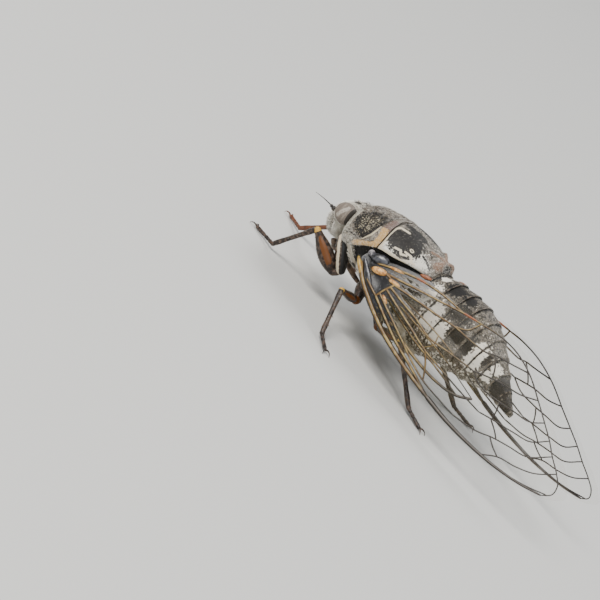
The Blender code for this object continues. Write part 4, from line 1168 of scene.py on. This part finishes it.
def inside(points, loop):
    """Whether each point lies within a closed loop."""
    ahead = np.roll(loop, -1, axis=0)
    x, y = points[:, 0][:, None], points[:, 1][:, None]
    spans = (loop[:, 1] > y) != (ahead[:, 1] > y)
    rise = np.where(ahead[:, 1] == loop[:, 1], 1.0, ahead[:, 1] - loop[:, 1])
    crossing = loop[:, 0] + (y - loop[:, 1]) / rise * (ahead[:, 0] - loop[:, 0])
    return (spans & (x < crossing)).sum(1) % 2 == 1


def film(edge, veins, lift, side, smoke):
    """The clear film, pillowed a little between the veins."""
    rim = flowing(edge + edge[:1], RIM_STEP)[:-1]
    ticks = [np.arange(low, high, FILM_STEP) for low, high in zip(rim.min(0), rim.max(0))]
    field = np.stack(np.meshgrid(*ticks, indexing="ij"), -1).reshape(-1, 2)
    field[:, 0] += (np.round(field[:, 1] / FILM_STEP) % 2) * FILM_STEP / 2
    field = field[inside(field, rim)]
    field = field[distance(field, np.concatenate([rim, rim[:1]])) > RIM_CLEAR]
    points = np.concatenate([rim, field])
    edges = [(i, (i + 1) % len(rim)) for i in range(len(rim))]
    flat, _, faces = delaunay_2d_cdt([tuple(point) for point in points], edges, [], 1, 1e-4)[:3]
    flat = np.array([tuple(point) for point in flat])
    away = np.min([distance(flat, line) for line in veins.values()], axis=0)
    lift = lift - PILLOW * (1 - bell(away, 0.55))
    sheets = [wing_points(flat, lift + half, side) for half in (FILM, -FILM)]
    points, blocks = two_sided(*sheets, np.array([list(face) for face in faces]))
    return Form(points, blocks, {"smoke": np.tile(smoke(flat), 2)}).turned_out()


def veins_of(veins, lift, side, scale, red):
    """The veins as rounded ridges that stand on both faces of the film, reddish at some spots."""
    normal = wing_axes(side)[2] * (side, 1, 1)
    forms = []
    for name, points in veins.items():
        flat = flowing(points, 0.22)
        path = wing_points(flat, lift, side)
        radii = np.interp(flat[:, 0] / WING_LENGTH, (0.0, 0.5, 0.95), VEIN_SIZES.get(name, VEIN_SIZE)) * scale
        radii = radii * np.interp(np.linspace(0, 1, len(path)), (0, 0.02, 0.98, 1), (0.7, 1, 1, 0.7))
        carried = {
            "reach": flat[:, 0] / 20.0,
            "red": most(np.zeros(len(path)), *(patch(flat, spot, (0.8, 0.8)) for spot in red)),
            "broad": name in ("edge", "costa"),
        }
        form = tube(path, radii, 12, normal, carried)
        form.fields["crest"] = np.abs(np.sin(form.fields["turn"]))
        forms.append(form)
    return joined(forms)


def fore_smoke_and_shade(flat):
    """Where the fore wing's film is dark: the cell at its root and the fold behind it, and painted shadow
    beside the veins.
    """
    beside = np.min([distance(flat, FORE_VEINS[name]) for name in ROOT_VEINS], axis=0)
    # Painted shadow along both sides of the veins near the root
    edges = np.clip(1.6 - beside / np.interp(flat[:, 0], (4.0, 9.5), (0.30, 0.08)), 0, 1) * (flat[:, 0] < 9.5)
    return most(
        patch(flat, *ROOT_CELL), patch(flat, *ROOT_PLATES), stripe(flat, FRONT_STRIP, 0.30),
        stripe(flat, REAR_FOLD, 0.70), 0.9 * edges,
    )


def hind_smoke(flat):
    """The hind wing's film is hardly darker at its root."""
    return 0.2 * (flat[:, 0] < 3)


# Knots at the root of the fore wing: p, q, lift, half sizes along the span, the chord and the normal, turn in
# the wing's plane, paint
KNOTS = (
    (0.7, -1.05, 0.10, (1.15, 0.24, 0.26), -30, "yellow_knot"),
    (1.6, -0.85, 0.05, (1.7, 0.24, 0.20), -27, "dark_knot"),
    (2.25, 0.02, 0.10, (0.80, 0.36, 0.26), 26, "orange_knot"),
    (1.35, 0.85, 0.05, (0.95, 0.50, 0.34), 25, "dark_knot"),
    (0.3, 0.65, 0.10, (0.36, 0.34, 0.34), 0, "pale_knot"),
    (4.1, 0.32, 0.05, (0.62, 0.20, 0.17), 14, "orange_knot"),
    (4.75, -1.35, 0.03, (0.50, 0.15, 0.13), -20, "orange_knot"),
    (5.5, 2.95, 0.03, (0.62, 0.20, 0.16), 25, "red_knot"),
    (3.3, 1.35, 0.02, (0.9, 0.15, 0.14), 24, "orange_knot"),
)


def knots(word):
    """The plates and swellings at the root of a fore wing, one piece for each colour."""
    side = SIDES[word]
    span, chord, normal = np.array(wing_axes(side)) * (side, 1, 1)
    found = {}
    for p, q, lift, sizes, lean, paint in KNOTS:
        c, s = math.cos(math.radians(lean)), math.sin(math.radians(lean))
        centre = wing_points(np.array([(p, q)]), lift, side)[0]
        form = ball(centre, sizes, 14, 20, (span * c + chord * s, chord * c - span * s, normal))
        found.setdefault(paint, []).append(form)
    for paint, forms in found.items():
        piece("wing_root_" + paint.split("_")[0] + "_" + word, joined(forms), paint)


# Name, edge, veins, lift, size of the veins, rule for the smoky parts and painted shade, and reddish spots of
# each wing
WINGS = (
    ("forewing", FORE_EDGE, FORE_VEINS, 0.0, 1.0, fore_smoke_and_shade, ((5.3, 3.0), (11.0, 4.1))),
    ("hindwing", HIND_EDGE, HIND_VEINS, HIND_LIFT, 0.7, hind_smoke, ()),
)


def wings():
    """Both pairs: each wing is its clear film and its veins."""
    for word, side in SIDES.items():
        for name, edge, veins, lift, scale, smoke, red in WINGS:
            node = name + "_" + word
            piece(node + "_film", film(edge, veins, lift, side, smoke), "clear_membrane", (node,))
            piece(node + "_veins", veins_of(veins, lift, side, scale, red), "wing_vein", (node,))
        knots(word)


# Legs: hip, knuckle, heel of the thigh, knee, ankle and toe of each, for the left side

FORE_HIP = (3.5, 3.85, 6.1)
MID_THIGH = ((2.3, 8.0, 4.4), (3.5, 9.1, 3.1), (4.0, 9.05, 3.1), (7.0, 8.5, 3.7))
HIND_THIGH = ((2.0, 10.6, 4.0), (2.6, 12.0, 2.7), (2.95, 12.3, 2.7), (4.2, 15.2, 3.8))
MID_LEG = (*MID_THIGH, (10.2, 11.1, 0.55), (11.6, 12.9, 0.22))
LEGS = {
    "fore": {
        "left": (
            FORE_HIP, (2.9, 5.65, 3.6), (3.1, 5.2, 2.95), (4.2, 1.62, 5.0),
            (3.7, -0.9, 0.55), (2.7, -3.6, 0.22),
        ),
        "right": (
            FORE_HIP, (2.9, 5.0, 3.6), (3.2, 4.4, 3.0), (5.0, 0.0, 4.4),
            (6.2, -3.75, 0.55), (7.8, -5.9, 0.22),
        ),
    },
    "mid": {"left": MID_LEG, "right": MID_LEG},
    "hind": {
        "left": (*HIND_THIGH, (5.4, 20.6, 0.55), (5.9, 22.8, 0.22)),
        "right": (*HIND_THIGH, (5.6, 20.4, 0.55), (6.3, 22.5, 0.22)),
    },
}
# Radii of each segment from its root to its end
COXA = {"fore": (0.5, 0.66, 0.66, 0.62, 0.5), "mid": (0.45, 0.62, 0.60, 0.5, 0.40)}
TROCHANTER = (0.36, 0.42, 0.36)
FEMUR = {
    "fore": (0.36, 0.66, 0.80, 0.80, 0.66, 0.46, 0.32),
    "mid": (0.28, 0.40, 0.44, 0.40, 0.34, 0.30, 0.26),
}
SHIN = (0.26, 0.29, 0.25, 0.235, 0.23, 0.23, 0.26, 0.22)
FOOT_JOINT = (0.14, 0.19, 0.18, 0.20, 0.16)
FOOT_JOINTS = ((0.0, 0.22), (0.22, 0.45), (0.45, 1.0))
# Radius of a knee, length of a rounded end in radii, and the height of the soles
KNEE, CAP_LENGTH, SOLE = 0.27, 0.8, 0.004
# How far ahead of the toe, aside and up each point of a claw lies
CLAW = ((0, 0.06, 0), (0.25, 0.22, 0.10), (0.55, 0.36, 0.02), (0.75, 0.42, -0.19))
# Share of the length and size of each tooth under the fore thigh
TEETH = ((0.30, 0.75), (0.62, 0.5), (0.80, 0.32))
WINDOW_TURN = -0.27
COXA_FRONT = np.array((0.0, -0.81, -0.58))


def limb(start, end, radii, fields, rows=44, around=22):
    """A straight segment with a smooth profile, rounded over both ends. A field is a number or a rule."""
    share = np.linspace(0, 1, rows)
    sizes = along(np.column_stack([np.linspace(0, 1, len(radii)), radii]), share)[:, 0]
    caps = np.sin(np.array((0.2, 0.55, 0.9)) * math.pi / 2)
    past = np.outer(np.sqrt(1 - caps**2) * CAP_LENGTH, unit(end - start))
    path = [start - past * sizes[0], start + np.outer(share, end - start), end + past[::-1] * sizes[-1]]
    sizes = np.concatenate([caps * sizes[0], sizes, caps[::-1] * sizes[-1]])
    share = np.concatenate([np.zeros(3), share, np.ones(3)])
    carried = {name: rule(share) if callable(rule) else rule for name, rule in fields.items()}
    return tube(np.concatenate(path), sizes, around, fields=carried)


def spike(root, tip, radius, orange=0.0):
    """A slightly bent thorn."""
    share = np.linspace(0, 1, 7)
    bend = np.outer(np.sin(share * math.pi) * 0.08, (0, 0, np.linalg.norm(tip - root)))
    path = root + np.outer(share, tip - root) + bend
    return tube(path, radius * (1 - share * 0.92), 8, fields={"orange": orange})


def leg(name, word):
    """One leg: coxa, trochanter, femur, tibia with its spurs, three foot joints and two claws."""
    points = np.array(LEGS[name][word]) * (SIDES[word], 1, 1)
    hip, knuckle, heel, knee, ankle, toe = points
    kind = "fore" if name == "fore" else "mid"
    coxa = limb(hip, knuckle, COXA[kind], {"grey": lambda t: 0.50 - 0.3 * t})
    if kind == "fore":
        ahead = (coxa.points - (hip + knuckle) / 2) @ COXA_FRONT
        coxa.fields["cream"] = soft_step(ahead, -0.16, -0.04) * (1 - 0.8 * soft_step(ahead, 0.14, 0.26))
        # Painted shade: dark on the rear of the fore hip, where it meets the body
        coxa.fields["ink"] = soft_step(-ahead, 0.18, 0.28)
    knee_cap = ball(knee, (KNEE, KNEE, KNEE), 14, 18)
    knee_cap.fields["yellow"] = soft_step(knee_cap.points[:, 2] - knee[2], -0.10, 0.10)
    form = joined([
        coxa, limb(knuckle, heel, TROCHANTER, {"orange": 0.75 * (kind == "mid")}, rows=14),
        *femur(kind, heel, knee), knee_cap, limb(knee, ankle, SHIN, {"grey": lambda t: 0.38 - 0.1 * t}),
        *spurs(knee, ankle, 2 if kind == "fore" else 5), *foot(ankle, toe),
    ])
    if (name, word) == ("fore", "right"):
        form.fields["rust"] = np.full(len(form.points), 0.6)
    form.points[:, 2] = np.maximum(form.points[:, 2], SOLE)
    piece(name + "_leg_" + word + "_limb", form, "brown_leg", (name + "_leg_" + word,))


def femur(kind, heel, knee):
    """The thigh, with an orange window on its outer face; the fore one is swollen and has teeth below."""
    form = limb(heel, knee, FEMUR[kind], {"share": lambda t: t})
    share, turn = form.fields["share"], form.fields["turn"] - WINDOW_TURN
    window = np.clip(1.5 - np.abs(share - 0.5) / 0.32, 0, 1)
    form.fields["orange"] = window * soft_step(np.abs(np.cos(turn)), 0.84, 0.95)
    # Painted highlight: grey along both flanks of the thigh
    form.fields["grey"] = 0.52 * soft_step(np.abs(np.sin(turn)), 0.75, 0.95)
    form.fields["yellow"] = 1.2 * soft_step(share, 0.93, 0.98)
    forms = [form]
    if kind == "fore":
        way = unit(knee - heel)
        under = np.cross(np.cross(way, (0, 0, -1)), way)
        for at, size in TEETH:
            root = heel + (knee - heel) * at + under * 0.30
            forms.append(spike(root, root + under * size + way * size * 0.5, 0.16))
    return forms


def spurs(knee, ankle, count):
    """Thorns along the shin and at its end."""
    way = unit(ankle - knee)
    across = unit(np.cross(way, (0, 0, 1)))
    over = np.cross(across, way)
    made = []
    for index in range(count):
        at = 0.45 + 0.5 * (index + 1) / count if count > 2 else 0.95
        lean = across * (1 if index % 2 else -1) + over * 0.3
        root = knee + (ankle - knee) * at
        made.append(spike(root, root + lean * 0.38 + way * 0.34, 0.075, 0.6))
    return made


def foot(ankle, toe):
    """Three joints and a pair of hooked claws, flat under the sole."""
    forms = []
    for share in FOOT_JOINTS:
        a, b = [ankle + (toe - ankle) * end for end in share]
        forms.append(limb(a, b, FOOT_JOINT, {"orange": 0.25}, rows=14, around=16))
    way = unit((toe - ankle) * (1, 1, 0))
    across = np.cross(way, (0, 0, 1))
    for hand in (-1, 1):
        path = [toe + way * a + across * hand * b + np.array((0, 0, c)) for a, b, c in CLAW]
        path = flowing(path, 0.06)
        forms.append(tube(path, np.linspace(0.11, 0.02, len(path)), 10))
    return forms


# Hair

SKINS = {}
# Size of a hair's patch on the unwrap, and how far hairs stray from their way
TUFT_PATCH, STRAY = 0.003, 0.22
# Hairs rise away from the point of the body's axis that lies level with them
AXIS_HEIGHT = 7.0
# A tuft has three corners at its root, three half way and a tip
TUFT_FACES = np.array((
    (0, 1, 4), (0, 4, 3), (1, 2, 5), (1, 5, 4), (2, 0, 3),
    (2, 3, 5), (3, 4, 6), (4, 5, 6), (5, 3, 6), (0, 2, 1),
))
TUFT_UNWRAP = np.array(((0, 0), (1, 0), (0.5, 0.4), (0, 0.5), (1, 0.5), (0.5, 0.8), (0.5, 1)))


def tufts(name, skin, count, length, width, rise, seed, lie, density):
    """Fine tapered hairs rooted on a skin. Each has its own small patch on the skin's unwrap."""
    rng = np.random.default_rng(seed)
    skin = SKINS[skin]
    quads = skin.blocks[0]
    corners = skin.points[quads]
    normal = np.cross(corners[:, 2] - corners[:, 0], corners[:, 3] - corners[:, 1])
    area = np.linalg.norm(normal, axis=1) / 2
    weight = area * density(corners.mean(1))
    picked = rng.choice(len(quads), count, p=weight / weight.sum())
    a, b = rng.random((2, count, 1))
    c = corners[picked]
    root = (c[:, 0] * (1 - a) + c[:, 1] * a) * (1 - b) + (c[:, 3] * (1 - a) + c[:, 2] * a) * b
    up = (normal / np.maximum(area, 1e-9)[:, None] / 2)[picked]
    core = np.array((0.0, 0.0, AXIS_HEIGHT)) + root * (0, 1, 0)
    up = up * np.sign(((root - core) * up).sum(1))[:, None]
    flow = (lie(root) if callable(lie) else np.array(lie)) + rng.normal(0, STRAY, (count, 3))
    flow = unit(flow - up * (flow * up).sum(1)[:, None])
    side = np.cross(up, flow)
    half_size = length * rng.uniform(0.6, 1.25, (count, 1)) / 2
    middle = root + (flow * (1 - rise) + up * rise) * half_size
    tip = middle + (flow * (1 - rise * 0.4) + up * rise * 0.4) * half_size
    ring = [side * width / 2, -side * width / 2, up * width * 0.45]
    points = np.stack([*(root - up * 0.02 + r for r in ring), *(middle + r * 0.7 for r in ring), tip], 1)
    corner_count = points.shape[1]
    faces = (np.arange(count)[:, None, None] * corner_count + TUFT_FACES).reshape(-1, 3)
    rooted = quads[picked][:, 0]
    shade = np.repeat(skin.fields["black"][rooted], corner_count)
    made = piece(name, Form(points, [faces], {"shade": shade}), "silver_hair")
    where = (skin.unwrap[rooted][:, None] + (TUFT_UNWRAP - 0.5) * TUFT_PATCH).reshape(-1, 2)
    layer = made.data.uv_layers.new(name="OFBake")
    loops = np.zeros(len(made.data.loops), np.int32)
    made.data.loops.foreach_get("vertex_index", loops)
    layer.data.foreach_set("uv", np.clip(where[loops], 0, 1).astype(np.float32).ravel())


def outward(root):
    """The way out to the nearer side."""
    return np.sign(root) * (1, 0, 0)


def on_face(middle):
    """Most hair on the front of the face and the cheeks."""
    x, y, z = middle.T
    clear = soft_step(eye_distance(middle), 0.02, 0.15)
    return clear * (0.25 + 1.6 * soft_step(8.4 - z, 0, 1.2)) * soft_step(neck_line(x, z) + 0.2 - y, 0, 0.3)


def round_eyes(middle):
    """A ring of hair close round each eye."""
    return bell(eye_distance(middle) - 0.04, 0.08)


def on_shield(middle):
    """More hair low on the pronotum."""
    return 0.4 + soft_step(8.6 - middle[:, 2], 0, 1.5)


def on_dome(middle):
    """More hair at the rear of the mesonotum."""
    return 0.3 + soft_step(middle[:, 1], 10.3, 11.5)


def on_flanks(middle):
    """Most hair on the flanks of the thorax."""
    return soft_step(8.5 - middle[:, 2], 0, 1.0) * soft_step(13.0 - middle[:, 1], 0, 1.0) + 0.22


# Name, skin, count, length, width, how steeply it rises, seed, the way it lies and where it is dense
COATS = (
    ("face_hair", "head", 15000, 0.44, 0.022, 0.66, 21, (0, -0.35, -1.0), on_face),
    ("eye_fringe", "head", 3600, 0.50, 0.022, 0.82, 25, outward, round_eyes),
    ("shield_hair", "pronotum", 7000, 0.27, 0.012, 0.42, 22, (0, 1.0, -0.15), on_shield),
    ("dome_hair", "mesonotum", 2000, 0.26, 0.012, 0.36, 23, (0, 1.0, -0.1), on_dome),
    ("flank_hair", "trunk", 11000, 0.34, 0.014, 0.32, 24, (0, 1.0, -0.5), on_flanks),
)


def build():
    """Everything in the picture."""
    camera()
    studio()
    paints()
    SKINS["trunk"] = trunk()
    SKINS["pronotum"] = pronotum()
    SKINS["mesonotum"] = mesonotum()
    SKINS["head"] = head()
    rostrum()
    for word in SIDES:
        eye(word)
        antenna(word)
        operculum(word)
        for name in LEGS:
            leg(name, word)
    wings()
    for coat in COATS:
        tufts(*coat)


build()
bpy.context.view_layer.update()
